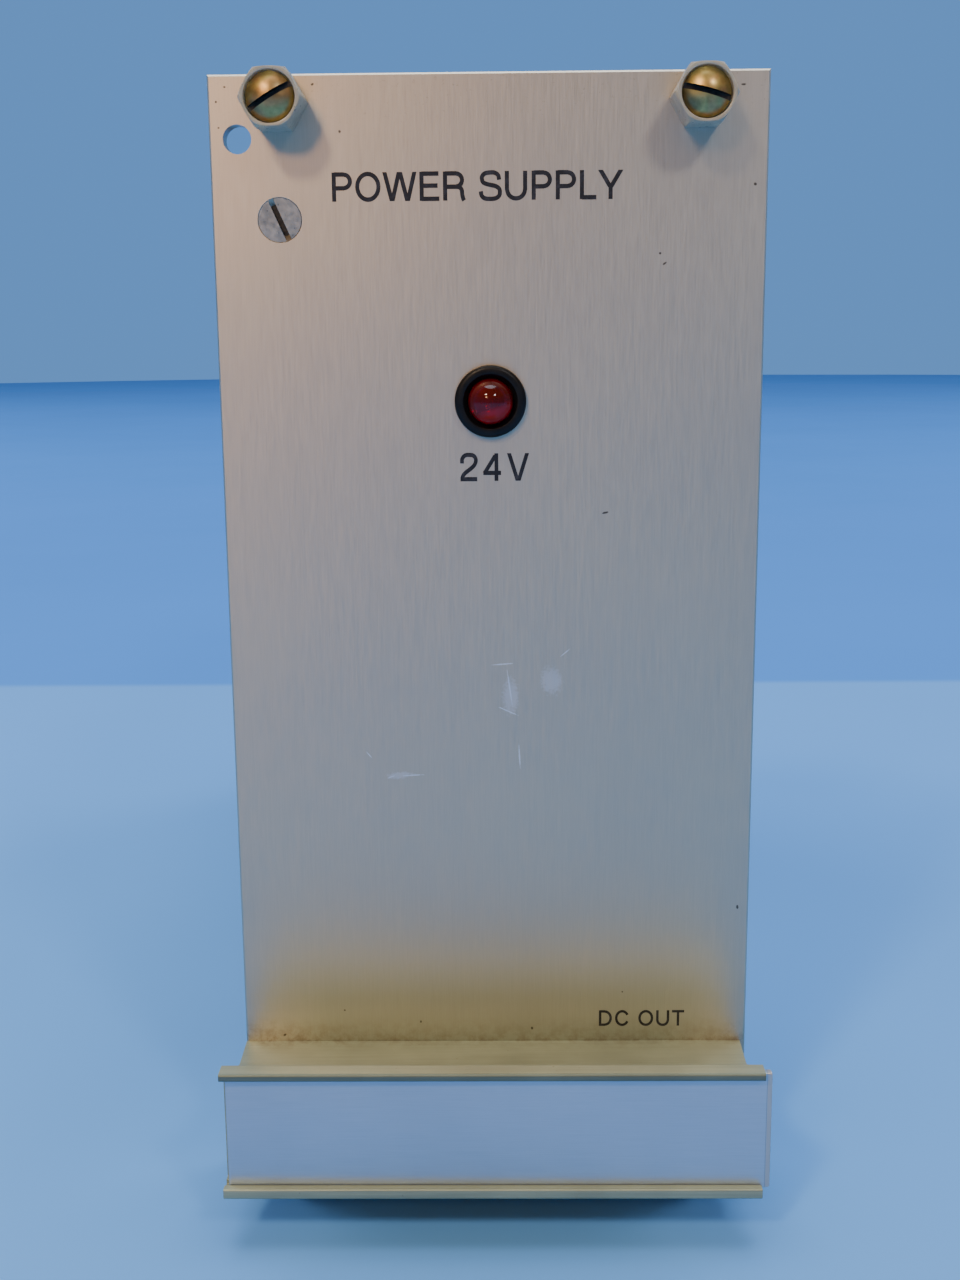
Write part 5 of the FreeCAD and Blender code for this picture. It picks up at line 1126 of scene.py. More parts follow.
class CARD_OT_label_strip(bpy.types.Operator):
    """Build the blank label strip that slides in the handle's lips"""
    bl_idname = "card.label_strip"
    bl_label = "Label Strip"

    def execute(self, context):
        low, high = span("label_strip")
        lean = np.linspace(0, math.pi / 2, 4)
        inset = 0.12 * (1 - np.sin(lean))
        rise = 0.12 * (1 - np.cos(lean))
        deep = high[1] - low[1]
        level = np.concatenate((rise, deep - rise[::-1]))
        inset = np.concatenate((inset, inset[::-1]))
        half = (high - low)[[0, 2]] / 2
        ring = rounded_ring(half[0], half[1], 0.25)
        flat = ring[None] * ((half - inset[:, None]) / half)[:, None, :]
        points = np.stack((flat[..., 0], np.broadcast_to(level[:, None], flat.shape[:2]), flat[..., 1]), axis=-1)
        surface = Surface()
        surface.grid(points, spot=((low[0] + high[0]) / 2, low[1], (low[2] + high[2]) / 2))
        piece("blank_strip", surface, [self.finish(settings().strip)], "label_strip", ("label_strip",),
              angle=40)
        return {"FINISHED"}

    @staticmethod
    def finish(colour):
        """Pale satin metal brushed along the strip, with a few marks and a greasy patch."""
        finish = Finish("satin_strip", Metallic=0.72, Anisotropic=0.3)
        lines = finish.streaks(8.0, (0.02, 1, 1))
        tone = finish.ramp(lines, (0.3, shade(colour, 0.94)), (0.7, shade(colour, 1.05)))
        cloud = finish.ramp(finish.noise(0.06, 5.0), (0.35, (0.93, 0.94, 0.95)), (0.65, (1.0, 1.0, 1.0)))
        tone = finish.blend("MULTIPLY", tone, cloud)
        tone = finish.blend("MIX", tone, (0.06, 0.06, 0.045), finish.sum(
            "MULTIPLY", spots_mask(finish, STRIP_MARKS, 0.5), 0.7))
        patch = spots_mask(finish, ((19.0, 10.8, 0.7, 1.6, -20),), 0.8)
        tone = finish.blend("MIX", tone, (0.30, 0.31, 0.24), finish.sum("MULTIPLY", patch, 0.35))
        across, _, _ = finish.axes()
        end = finish.sum("SUBTRACT", across, span("label_strip")[1][0] - 1.0)
        tone = finish.blend("MIX", tone, (0.10, 0.085, 0.07), finish.ramp(end, (0.38, 0.0), (0.42, 0.6), (0.48, 0.0)))
        tone = finish.blend("MIX", tone, (0.55, 0.45, 0.36), finish.ramp(end, (0.46, 0.0), (0.52, 0.7)))
        finish.feed(Base_Color=tone, Roughness=finish.ramp(lines, (0.3, 0.36), (0.7, 0.48)))
        finish.bump(lines, 0.06, 0.01)
        return finish.material


# ---------------------------------------------------------------- brackets and fasteners

class CARD_OT_brackets(bpy.types.Operator):
    """Ease the edges of the two cast brackets and give them a cast finish"""
    bl_idname = "card.brackets"
    bl_label = "Board Brackets"

    def execute(self, context):
        cast = mottled("die_cast", (0.42, 0.42, 0.41), 0.15, 1.2, (0.42, 0.6), 3.5, 0.5, 0.06, Metallic=1.0)
        for where in ("upper", "lower"):
            softened("board_bracket_" + where, "cast_bracket_" + where, cast, "root", 0.35, 40, 3)
        return {"FINISHED"}


class CARD_OT_handle_screws(bpy.types.Operator):
    """Build the two pan head screws that pull the handle to the panel"""
    bl_idname = "card.handle_screws"
    bl_label = "Handle Screws"

    def execute(self, context):
        for name, seat, spin in (("left", span("board_bracket_lower")[0][1] + 4.0, 0.5),
                                 ("right", PANEL_HIGH[1], 1.3)):
            node = "handle_screw_" + name
            centre = middle(node)
            surface = Surface()
            pan_screw(surface, (centre[0], seat, centre[2]), BACKWARD, seat - span(node)[0][1], spin)
            piece("handle_fixing_" + name, surface, [zinc(), slot_shade_and_grime()], "root", (node,), 0.05, 38, 2)
        return {"FINISHED"}


class CARD_OT_board_screws(bpy.types.Operator):
    """Build the screws and nuts that hold the brackets, the plug and the transformer"""
    bl_idname = "card.board_screws"
    bl_label = "Board Screws and Nuts"

    def execute(self, context):
        self.row("bracket_board_screws", "arm_screws", SOLDER_SIDE, LEFTWARD, 6.6, (16.5 + 2.25, 110.65 - 2.25), 0.4)
        self.row("plug_screws", "ear_screws", PARTS_SIDE + 4.0, RIGHTWARD, 7.6, (19.9, 108.5), 1.1)
        self.nuts("bracket_board_nuts", "arm_nuts", RIGHTWARD)
        self.nuts("plug_nuts", "ear_nuts", LEFTWARD)
        low, high = span("transformer_screws")
        surface = Surface()
        for number, (along, up) in enumerate(
                (y, z) for y in (low[1] + 2.25, high[1] - 2.25) for z in (low[2] + 2.25, high[2] - 2.25)):
            pan_screw(surface, (SOLDER_SIDE, along, up), LEFTWARD, high[0] - SOLDER_SIDE, 0.7 * number)
        piece("strap_screws", surface, [zinc(), slot_shade_and_grime()], "root", ("transformer_screws",), 0.05, 38, 2)
        return {"FINISHED"}

    @staticmethod
    def row(node, name, seat, turn, length, heights, spin):
        along = middle(node)[1]
        surface = Surface()
        for number, up in enumerate(heights):
            pan_screw(surface, (seat, along, up), turn, length, spin + number)
        piece(name, surface, [zinc(), slot_shade_and_grime()], "root", (node,), 0.05, 38, 2)

    @staticmethod
    def nuts(node, name, turn):
        low, high = span(node)
        seat = low[0] if turn is RIGHTWARD else high[0]
        half = 5.0 / math.sqrt(3)
        surface = Surface()
        for up in (low[2] + half, high[2] - half):
            quarter = turn[[1, 0, 2]] * np.array(((1,), (-1,), (1,)))
            hexagon_nut(surface, (seat, (low[1] + high[1]) / 2, up), quarter)
        piece(name, surface, [zinc()], "root", (node,), angle=35)


# ---------------------------------------------------------------- circuit board

# Joints on the board: distance behind the board's front edge and height above its lower edge.
JOINTS = {
    "resistors": [(along, 27.0 + 5.08 * row) for row in range(6) for along in (6.25, 15.75)],
    "diodes": [(along, 84.0 + 8.0 * row) for row in range(2) for along in (81.85, 94.15)],
    "chip": [(along, 23.6 + 2.54 * row) for row in range(-3, 4) for along in (43.05, 50.95)],
    "bridge": [(65.0 + 2.54 * place, 66.0) for place in (-3, -1, 1, 3)],
    "cement": [(18.1, 12.0), (41.9, 12.0)],
    "film": [(98.0, 84.0), (110.0, 84.0)],
    "disc": [(118.0, 81.46), (118.0, 86.54)],
    "cans": [(65.0 + side * 5.0, 18.0 + 28.0 * row) for row in range(2) for side in (-1, 1)],
    "small_can": [(36.0, 29.5), (36.0, 34.5)],
    "transistor": [(37.0, 72.0 + 2.54 * place) for place in (-1, 0, 1)],
    "trimmer": [(19.5, 29.5), (19.5, 34.5), (24.5, 32.0)],
    "clips": [(124.3, 82.0), (139.7, 82.0)],
    "coils": [(along, up) for along in (104.5, 111.0, 117.0, 121.5, 127.0, 131.5) for up in (14.6, 61.0)],
    "lamp": [(15.7, 63.5), (17.7, 70.5)],
    "plug": [(149.6, 50.0 + 5.08 * row) for row in range(-7, 8)],
}

# Tracks on the solder side: width, then (along, up) points.
TRACKS = (
    (2.6, (149.6, 85.6), (143.0, 85.6), (139.7, 82.0)),
    (2.6, (124.3, 82.0), (118.0, 81.46)),
    (2.6, (118.0, 81.46), (110.0, 84.0)),
    (2.6, (149.6, 75.4), (141.0, 75.4), (137.0, 79.0), (124.0, 79.0), (119.0, 89.0), (118.0, 86.54)),
    (2.6, (118.0, 86.54), (112.0, 89.5), (101.0, 89.5), (98.0, 84.0)),
    (2.0, (118.0, 81.46), (118.0, 72.0), (121.5, 68.0), (121.5, 61.0)),
    (2.0, (98.0, 84.0), (98.0, 72.0), (127.0, 66.0), (127.0, 61.0)),
    (2.4, (104.5, 14.6), (100.0, 10.0), (86.0, 10.0), (82.0, 14.0), (82.0, 54.0), (72.6, 63.0), (72.6, 66.0)),
    (2.4, (111.0, 14.6), (106.0, 6.0), (84.0, 6.0), (77.5, 12.0), (77.5, 52.0), (67.54, 61.0), (67.54, 66.0)),
    (3.2, (57.38, 66.0), (57.38, 52.0), (60.0, 46.0), (60.0, 18.0)),
    (3.2, (62.46, 66.0), (62.46, 57.0), (70.0, 50.0), (70.0, 18.0)),
    (2.6, (60.0, 46.0), (52.0, 55.0), (40.0, 66.0), (37.0, 69.46)),
    (2.2, (37.0, 72.0), (33.0, 76.0), (24.0, 76.0), (9.0, 62.0), (6.25, 57.0), (6.25, 52.4)),
    (1.4, (37.0, 74.54), (33.0, 80.0), (22.0, 80.0), (4.0, 62.0), (4.0, 24.0), (12.0, 12.0), (18.1, 12.0)),
    (2.6, (41.9, 12.0), (56.0, 5.0), (140.0, 5.0), (146.0, 11.0), (149.6, 14.4)),
    (2.6, (70.0, 18.0), (74.0, 12.0), (74.0, 8.4), (138.0, 8.4), (142.0, 19.0), (149.6, 24.6)),
    (1.0, (15.75, 27.0), (19.5, 29.5)),
    (1.0, (15.75, 32.08), (19.5, 34.5)),
    (1.0, (15.75, 37.16), (30.0, 37.16), (36.0, 34.5)),
    (1.0, (24.5, 32.0), (30.0, 29.5), (36.0, 29.5)),
    (0.8, (15.75, 42.24), (36.0, 42.24), (43.05, 31.22)),
    (0.8, (15.75, 47.32), (39.0, 47.32), (46.5, 38.0), (50.95, 31.22)),
    (0.8, (43.05, 28.68), (38.0, 26.0), (26.0, 25.0), (6.25, 25.0), (6.25, 27.0)),
    (0.8, (43.05, 21.06), (30.0, 20.0), (9.0, 20.0), (6.25, 32.08)),
    (0.8, (50.95, 28.68), (60.0, 24.0)),
    (0.8, (50.95, 15.98), (55.0, 12.0), (70.0, 12.0), (70.0, 18.0)),
    (0.8, (43.05, 15.98), (41.9, 12.0)),
    (1.0, (17.7, 70.5), (12.0, 66.0), (6.25, 52.4)),
    (1.0, (15.7, 63.5), (19.0, 58.0), (28.0, 50.0), (50.0, 50.0), (70.0, 46.0)),
    (1.4, (81.85, 84.0), (76.0, 78.0), (62.46, 74.0), (62.46, 66.0)),
    (1.4, (81.85, 92.0), (70.0, 86.0), (57.38, 76.0), (57.38, 66.0)),
    (1.4, (94.15, 84.0), (94.15, 92.0)),
    (1.4, (94.15, 84.0), (92.0, 70.0), (86.0, 60.0), (86.0, 12.0)),
    (1.6, (149.6, 55.08), (140.0, 55.0), (131.5, 61.0)),
    (1.6, (149.6, 44.92), (138.0, 45.0), (130.0, 30.0), (131.5, 14.6)),
    (1.4, (149.6, 65.24), (135.0, 70.0), (122.0, 74.0), (98.0, 76.0), (92.0, 79.0)),
)


def on_board(along, up):
    return BOARD_LOW[1] + along, BOARD_LOW[2] + up


class CARD_OT_circuit_board(bpy.types.Operator):
    """Finish the circuit board and build its tracks, solder joints and printed outlines"""
    bl_idname = "card.circuit_board"
    bl_label = "Circuit Board"

    def execute(self, context):
        colour = settings().board
        repaint("circuit_board", self.mask("board_mask", colour, 0.0))
        self.tracks(colour)
        self.joints()
        self.outlines()
        return {"FINISHED"}

    @staticmethod
    def mask(name, colour, metal):
        """Green lacquer over woven glass: a fine square weave in relief and thick and thin places."""
        finish = Finish(name, Coat_Weight=0.5, Coat_Roughness=0.18, Metallic=metal)
        _, along, up = finish.axes()
        threads = [finish.sum("SINE", finish.sum("MULTIPLY", axis, 2 * math.pi / 0.9)) for axis in (along, up)]
        weave = finish.sum("MULTIPLY", threads[0], threads[1])
        cloud = finish.noise(0.18, 4.0)
        tone = finish.ramp(cloud, (0.3, shade(colour, 0.78)), (0.7, shade(colour, 1.22)))
        light = finish.ramp(weave, (0.0, 0.93), (1.0, 1.05))
        finish.feed(Base_Color=finish.blend("MULTIPLY", tone, light),
                    Roughness=finish.ramp(finish.noise(0.7), (0.3, 0.30), (0.7, 0.46)))
        finish.bump(weave, 0.12, 0.015)
        return finish.material

    def tracks(self, colour):
        """Each track is a strip of its width with mitred corners, raised by the copper's height."""
        surface = Surface()
        for number, (wide, *points) in enumerate(TRACKS):
            raise_by = settings().copper + 0.0015 * number
            y, z = on_board(*np.array(points).T)
            path = np.stack((np.full(len(y), SOLDER_SIDE - raise_by / 2 + 0.005), y, z), axis=-1)
            surface.ribbon_flat(path, wide, raise_by)
        piece("tracks", surface, [self.mask("covered_copper", shade(colour, 1.75), 0.25)], "root",
              angle=40, merge=False)

    @staticmethod
    def joints():
        """A solder joint: r falls from the pad to the lead's end as a hollow curve, with the pad round it."""
        surface = Surface()
        for group, places in JOINTS.items():
            big = group in ("cans", "clips", "coils", "plug", "bridge")
            pad, rise = (1.7, 1.3) if big else (1.05, 1.0)
            share = np.linspace(0, 1, 6)
            cone = np.stack((0.28 + (pad * 0.72 - 0.28) * (1 - share) ** 2.2, 0.06 + (rise - 0.06) * share), axis=-1)
            profile = np.concatenate((((pad, -0.01), (pad, 0.05), (pad * 0.8, 0.06)), cone,
                                      ((0.27, rise + 0.25), (0.2, rise + 0.33), (0.0, rise + 0.33))))
            for place in places:
                y, z = on_board(*place)
                surface.lathe(profile, 18, turn=LEFTWARD, spot=(SOLDER_SIDE, y, z))
        solder = mottled("solder", (0.55, 0.55, 0.56), 0.14, 1.6, (0.16, 0.36), 6.0, 0.2, 0.02, Metallic=1.0)
        piece("solder_joints", surface, [solder], "root", angle=40)

    def outlines(self):
        """Outlines of the parts printed on the board, as thin flat strips."""
        surface = Surface()
        for node, margin in (
                ("transformer_core", 2.0), ("smoothing_capacitor_lower", 0.0), ("smoothing_capacitor_upper", 0.0),
                ("bridge_rectifier", 0.8), ("film_capacitor", 0.7), ("control_chip", 0.7),
                ("power_resistor", 0.7), ("trimmer_body", 0.6), ("fuse_clips", 1.0), ("surge_arrester", 0.7)):
            low, high = span(node)
            half = (high - low)[1:] / 2 + margin
            round_can = "smoothing" in node
            if round_can:
                angle = np.linspace(0, 2 * math.pi, 61)
                ring = np.stack((np.cos(angle), np.sin(angle)), axis=-1) * (half[0] + 0.5)
            else:
                ring = np.array(((1, 1), (-1, 1), (-1, -1), (1, -1), (1, 1), (0.9, 1))) * half
            ring = ring + (low + high)[1:] / 2
            path = np.column_stack((np.full(len(ring), PARTS_SIDE + 0.01), ring))
            surface.ribbon_flat(path, 0.2, 0.02)
        ink = mottled("board_ink", (0.72, 0.72, 0.66), 0.08, 1.5, (0.5, 0.62), 5.0)
        piece("printed_outlines", surface, [ink], "root", angle=40, merge=False)


# ---------------------------------------------------------------- rear plug

class CARD_OT_rear_plug(bpy.types.Operator):
    """Finish the rear plug: moulded shell and two rows of flat blades"""
    bl_idname = "card.rear_plug"
    bl_label = "Rear Plug"

    def execute(self, context):
        shell = mottled("glass_filled_grey", (0.36, 0.355, 0.32), 0.08, 0.7, (0.42, 0.58), 4.0, 0.3, 0.04)
        softened("plug_shell", "plug_shell_moulded", shell, "root", 0.25, 40, 2)
        softened("plug_blades", "plug_blades_tinned", tin(), "root", 0.09, 40, 2)
        return {"FINISHED"}


# ---------------------------------------------------------------- transformer

class CARD_OT_transformer_core(bpy.types.Operator):
    """Build the transformer's core as a stack of thin steel sheets"""
    bl_idname = "card.transformer_core"
    bl_label = "Transformer Core"

    def execute(self, context):
        low, high = span("transformer_core")
        sheets = max(int(round((high[0] - low[0]) / settings().lamination)), 2)
        cuts_y = np.array((low[1], low[1] + 11.0, high[1] - 11.0, high[1]))
        middle_z = (low[2] + high[2]) / 2
        cuts_z = np.array((low[2], low[2] + 11.0, middle_z - 11.0, middle_z + 11.0, high[2] - 11.0, high[2]))
        surface = Surface()
        groove = self.edge_of(low[0], high[0], sheets)
        self.wall(surface, cuts_y, cuts_z, groove, -1.0)
        self.wall(surface, cuts_y[1:3], cuts_z[1:3], groove, 1.0)
        self.wall(surface, cuts_y[1:3], cuts_z[3:5], groove, 1.0)
        self.sides(surface, cuts_y, cuts_z, low[0], high[0])
        piece("laminated_core", surface, [self.steel()], "root", ("transformer_core",), angle=20)
        return {"FINISHED"}

    @staticmethod
    def edge_of(start, finish, sheets):
        """Places through the stack and how far each lies back: every gap between two sheets is a groove."""
        borders = np.linspace(start, finish, sheets + 1)
        gap = 0.05
        inner = borders[1:-1, None] + np.array((-gap, 0.0, gap))
        depth = np.broadcast_to((0.0, 0.09, 0.0), inner.shape)
        return (np.concatenate(((start,), inner.ravel(), (finish,))),
                np.concatenate(((0.0,), depth.ravel(), (0.0,))))

    @staticmethod
    def wall(surface, cuts_y, cuts_z, groove, way):
        """The closed line through the cuts' border, carried through the stack and drawn in at each groove."""
        bottom = np.stack((cuts_y, np.full(len(cuts_y), cuts_z[0])), axis=-1)
        rear = np.stack((np.full(len(cuts_z), cuts_y[-1]), cuts_z), axis=-1)
        top = np.stack((cuts_y[::-1], np.full(len(cuts_y), cuts_z[-1])), axis=-1)
        front = np.stack((np.full(len(cuts_z), cuts_y[0]), cuts_z[::-1]), axis=-1)
        ring = np.concatenate((bottom[:-1], rear[:-1], top[:-1], front[:-1]))
        centre = np.array(((cuts_y[0] + cuts_y[-1]) / 2, (cuts_z[0] + cuts_z[-1]) / 2))
        half = np.array((cuts_y[-1] - cuts_y[0], cuts_z[-1] - cuts_z[0])) / 2
        places, depth = groove
        scale = 1 + way * depth[:, None] / half
        flat = centre + (ring - centre)[None] * scale[:, None, :]
        points = np.concatenate((np.broadcast_to(places[:, None, None], flat.shape[:2] + (1,)), flat), axis=-1)
        surface.grid(points, ends=False)

    @staticmethod
    def sides(surface, cuts_y, cuts_z, start, finish):
        """The outer sheets: every cell between the cuts except the two windows."""
        grid = np.stack(np.meshgrid(cuts_z, cuts_y, indexing="ij"), axis=-1)[..., ::-1]
        faces = cells(len(cuts_z), len(cuts_y), wrap_cols=False)
        kept = np.delete(faces, (4, 10), axis=0)
        for place in (start, finish):
            points = np.concatenate((np.full(grid.shape[:2] + (1,), place), grid), axis=-1)
            surface.add(points, kept)

    @staticmethod
    def steel():
        """Varnished silicon steel: blue-black with brown varnish and a trace of rust in patches."""
        finish = Finish("varnished_steel", Metallic=0.75, Coat_Weight=0.3, Coat_Roughness=0.25)
        across, _, _ = finish.axes()
        cloud = finish.noise(0.22, 5.0)
        tone = finish.ramp(cloud, (0.3, (0.055, 0.052, 0.052)), (0.55, (0.10, 0.095, 0.09)), (0.78, (0.15, 0.10, 0.06)))
        sheet = finish.sum("FRACT", finish.sum("MULTIPLY", across, 1.0))
        tone = finish.blend("MULTIPLY", tone, finish.ramp(sheet, (0.4, 0.82), (0.6, 1.0)))
        finish.feed(Base_Color=tone, Roughness=finish.ramp(finish.noise(0.9), (0.3, 0.34), (0.7, 0.55)))
        finish.bump(finish.noise(2.5, 4.0), 0.2, 0.03)
        return finish.material


class CARD_OT_transformer_coils(bpy.types.Operator):
    """Build the bobbin and its two taped windings"""
    bl_idname = "card.transformer_coils"
    bl_label = "Bobbin and Windings"

    def execute(self, context):
        spool = mottled("moulded_bobbin", (0.05, 0.048, 0.042), 0.15, 0.6, (0.35, 0.5), 5.0, 0.2, 0.03)
        softened("transformer_bobbin", "moulded_bobbin", spool, "root", 0.2, 40, 2)
        enamel = mottled("enamelled_copper", (0.42, 0.13, 0.045), 0.2, 1.2, (0.2, 0.36), 8.0, Metallic=0.9)
        for name, colour in (("primary_winding", (0.60, 0.44, 0.10)), ("secondary_winding", (0.56, 0.50, 0.36))):
            surface = Surface()
            self.coil(surface, *span(name))
            piece("taped_" + name, surface, [self.tape(name, colour), enamel], "root", (name,),
                  angle=50)
        return {"FINISHED"}

    @staticmethod
    def coil(surface, low, high):
        """A rounded ring drawn in by a bulge curve; bare turns of wire show as ripples beside the tape."""
        long = high[1] - low[1]
        bare = 1.3
        turns = 1.15 - 0.16 * np.abs(np.sin(np.linspace(0, 3 * math.pi, 25)))
        wires = np.linspace(0.05, bare, 25)
        step = np.array((bare + 0.02, bare + 0.12))
        tape = np.linspace(bare + 0.5, long - bare - 0.5, 17)
        share = (tape - tape[0]) / (tape[-1] - tape[0])
        swell = 0.42 - 0.40 * np.sin(math.pi * share) ** 0.6
        place = np.concatenate((wires, step, tape, long - step[::-1], long - wires[::-1]))
        inset = np.concatenate((turns, (0.8, 0.55), swell, (0.55, 0.8), turns[::-1]))
        centre = ((low[0] + high[0]) / 2, (low[2] + high[2]) / 2)
        half = ((high[0] - low[0]) / 2, (high[2] - low[2]) / 2)
        outer = rounded_ring(half[0], half[1], 5.0, 9)
        length = np.linalg.norm(outer, axis=1, keepdims=True)
        sag = 0.12 * np.sin(7 * np.arctan2(outer[:, 1], outer[:, 0])) + 0.12
        rings = outer[None] * (1 - (inset[:, None] + sag * (inset[:, None] < 0.6)) / length[:, 0])[..., None]
        hole = rounded_ring(half[0] - 9.0, half[1] - 9.0, 0.6, 9)
        rings = np.concatenate((hole[None], rings, hole[None]))
        level = np.concatenate((place[:1], place, place[-1:]))
        points = np.stack((rings[..., 0], np.broadcast_to(level[:, None], rings.shape[:2]), rings[..., 1]), axis=-1)
        rows, cols = rings.shape[:2]
        taped = np.zeros(rows, int)
        taped[:27] = 1
        taped[-27:] = 1
        surface.grid(points, np.repeat(taped, cols), wrap_rows=True, spot=(centre[0], low[1], centre[1]))

    @staticmethod
    def tape(name, colour):
        """Polyester tape: smooth, slightly clear, with wrinkles across it and the edges of its layers."""
        finish = Finish("tape_" + name, Coat_Weight=0.6, Coat_Roughness=0.12)
        wrinkles = finish.streaks(0.9, (1, 0.12, 1), 5.0)
        tone = finish.ramp(finish.noise(0.16, 4.0), (0.3, shade(colour, 0.75)), (0.7, shade(colour, 1.12)))
        finish.feed(Base_Color=finish.blend("MULTIPLY", tone, finish.ramp(wrinkles, (0.3, 0.86), (0.7, 1.0))),
                    Roughness=finish.ramp(wrinkles, (0.3, 0.24), (0.7, 0.42)))
        finish.bump(wrinkles, 0.35, 0.12)
        return finish.material


class CARD_OT_transformer_straps(bpy.types.Operator):
    """Ease the edges of the two steel straps over the core"""
    bl_idname = "card.transformer_straps"
    bl_label = "Transformer Straps"

    def execute(self, context):
        steel = brushed("rolled_strap", (0.44, 0.44, 0.42), (0.1, 1, 0.1), 0.14, (0.26, 0.46), 0.12, 3.0)
        softened("transformer_straps", "rolled_straps", steel, "root", 0.3, 40, 3)
        return {"FINISHED"}


# ---------------------------------------------------------------- capacitors

class CARD_OT_round_capacitors(bpy.types.Operator):
    """Build the three sleeved aluminium cans with their scored tops"""
    bl_idname = "card.round_capacitors"
    bl_label = "Round Capacitors"

    def execute(self, context):
        colour = settings().sleeve_can
        sleeve = mottled("shrunk_sleeve", colour, 0.08, 0.3, (0.2, 0.34), 3.0, 0.12, 0.03, Coat_Weight=0.3)
        stripe = mottled("pale_stripe", (0.50, 0.52, 0.54), 0.05, 0.4, (0.25, 0.38), 3.0, 0.12, 0.03)
        metal = brushed("can_aluminium", (0.62, 0.62, 0.61), (1, 1, 1), 0.06, (0.3, 0.42), 0.05, 1.5)
        for node, score in (("smoothing_capacitor_lower", 0.4), ("smoothing_capacitor_upper", 1.5),
                            ("output_capacitor", 0.9)):
            low, high = span(node)
            surface = Surface()
            self.can(surface, (high[1] - low[1]) / 2, high[0] - low[0], score,
                     (low[0], (low[1] + high[1]) / 2, (low[2] + high[2]) / 2))
            piece("sleeved_" + node, surface, [sleeve, stripe, metal], "root", (node,), angle=48)
        return {"FINISHED"}

    @staticmethod
    def can(surface, radius, tall, score, spot):
        """A turned profile; on its top the height dips along two crossed lines, which is the vent's score."""
        small = radius / 12.5
        bead = radius * (1 - 0.075 * np.exp(-((np.linspace(0, 1, 13) - 0.5) / 0.2) ** 2))
        bead_at = np.linspace(tall * 0.075, tall * 0.155, 13)
        shoulder = arc((radius - 0.9 * small, tall - 0.9 * small), 0.9 * small, 0, 90, 7)
        side = np.concatenate((
            ((radius * 0.9, 0.0), (radius - 0.25 * small, 0.12 * small), (radius, 0.45 * small)),
            np.stack((bead, bead_at), axis=-1), shoulder,
            ((radius * 0.83, tall - 0.02), (radius * 0.815, tall - 0.22 * small))))
        inner = np.linspace(radius * 0.80, radius * 0.02, 30)
        angle = np.linspace(0, 2 * math.pi, 120, endpoint=False)
        rows = np.concatenate((side[:, 0], inner))
        level = np.concatenate((side[:, 1], np.full(30, tall - 0.25 * small)))
        x, y = rows[:, None] * np.cos(angle), rows[:, None] * np.sin(angle)
        height = np.broadcast_to(level[:, None], x.shape).copy()
        across = x * math.cos(score) + y * math.sin(score)
        beside = y * math.cos(score) - x * math.sin(score)
        near = np.minimum(np.abs(across), np.abs(beside))
        dip = 0.4 * small * np.exp(-(near / (0.28 * small)) ** 2) * (np.hypot(x, y) < radius * 0.72)
        height[len(side):] -= dip[len(side):]
        cells_in = np.zeros((len(rows), len(angle)), int)
        cells_in[len(side) - 1:] = 2
        cells_in[:1] = 2
        band = np.abs((angle - 2.6 + math.pi) % (2 * math.pi) - math.pi) < 0.28
        cells_in[1:len(side) - 3, band] = 1
        points = np.stack((x, y, height), axis=-1)
        finish = cells_in[:-1].ravel()
        surface.grid(points, finish, turn=RIGHTWARD, spot=spot)


class CARD_OT_film_capacitor(bpy.types.Operator):
    """Build the boxed film capacitor"""
    bl_idname = "card.film_capacitor"
    bl_label = "Film Capacitor"

    def execute(self, context):
        low, high = span("film_capacitor")
        surface = Surface()
        surface.block(low + (0.6, 0, 0), high, 0.9, 0.45, 0.12)
        surface.block(low + (0.0, 2.6, 3.6), (low[0] + 0.9, low[1] + 3.4, high[2] - 3.6), 0.1, 0.02, finish=1)
        surface.block(low + (0.0, 14.6, 3.6), (low[0] + 0.9, low[1] + 15.4, high[2] - 3.6), 0.1, 0.02, finish=1)
        case = mottled("film_case", (0.30, 0.035, 0.022), 0.08, 0.5, (0.24, 0.4), 4.0, 0.15, 0.03, Coat_Weight=0.2)
        piece("film_capacitor_boxed", surface, [case, tin()], "root", ("film_capacitor",), angle=50)
        return {"FINISHED"}


# ---------------------------------------------------------------- regulator

class CARD_OT_heatsink(bpy.types.Operator):
    """Ease the heatsink's fins and finish the insulating pad"""
    bl_idname = "card.heatsink"
    bl_label = "Heatsink"

    def execute(self, context):
        black = Finish("black_anodised", Metallic=0.7, Anisotropic=0.3)
        lines = black.streaks(5.0, (0.02, 1, 1))
        black.feed(Base_Color=black.ramp(lines, (0.3, 0.012), (0.7, 0.024)),
                   Roughness=black.ramp(black.noise(0.6), (0.3, 0.36), (0.7, 0.52)))
        black.bump(lines, 0.2, 0.02)
        softened("heatsink", "finned_heatsink", black.material, "root", 0.25, 40, 3)
        grey = mottled("silicone_pad", (0.34, 0.35, 0.37), 0.1, 0.9, (0.5, 0.7), 3.0, 0.3, 0.04)
        softened("insulating_pad", "silicone_pad", grey, "root", 0.05, 40, 2)
        return {"FINISHED"}


class CARD_OT_pass_transistor(bpy.types.Operator):
    """Build the pass transistor, its tab and the screw that holds it"""
    bl_idname = "card.pass_transistor"
    bl_label = "Pass Transistor"

    def execute(self, context):
        softened("transistor_tab", "transistor_tab_tinned", tin(), "root", 0.08, 40, 2)
        low, high = span("transistor_body")
        surface = Surface()
        surface.block(low, high, 0.35, 0.22, 0.1)
        piece("transistor_moulding", surface, [black_plastic()], "root", ("transistor_body",),
              angle=50)
        centre, bolt = middle("transistor_screw"), Surface()
        seat = span("transistor_tab")[1][1]
        pan_screw(bolt, (centre[0], seat, centre[2]), BACKWARD, seat - span("transistor_screw")[0][1], 0.9)
        piece("transistor_fixing", bolt, [zinc(), slot_shade_and_grime()], "root", ("transistor_screw",), 0.05, 38, 2)
        return {"FINISHED"}


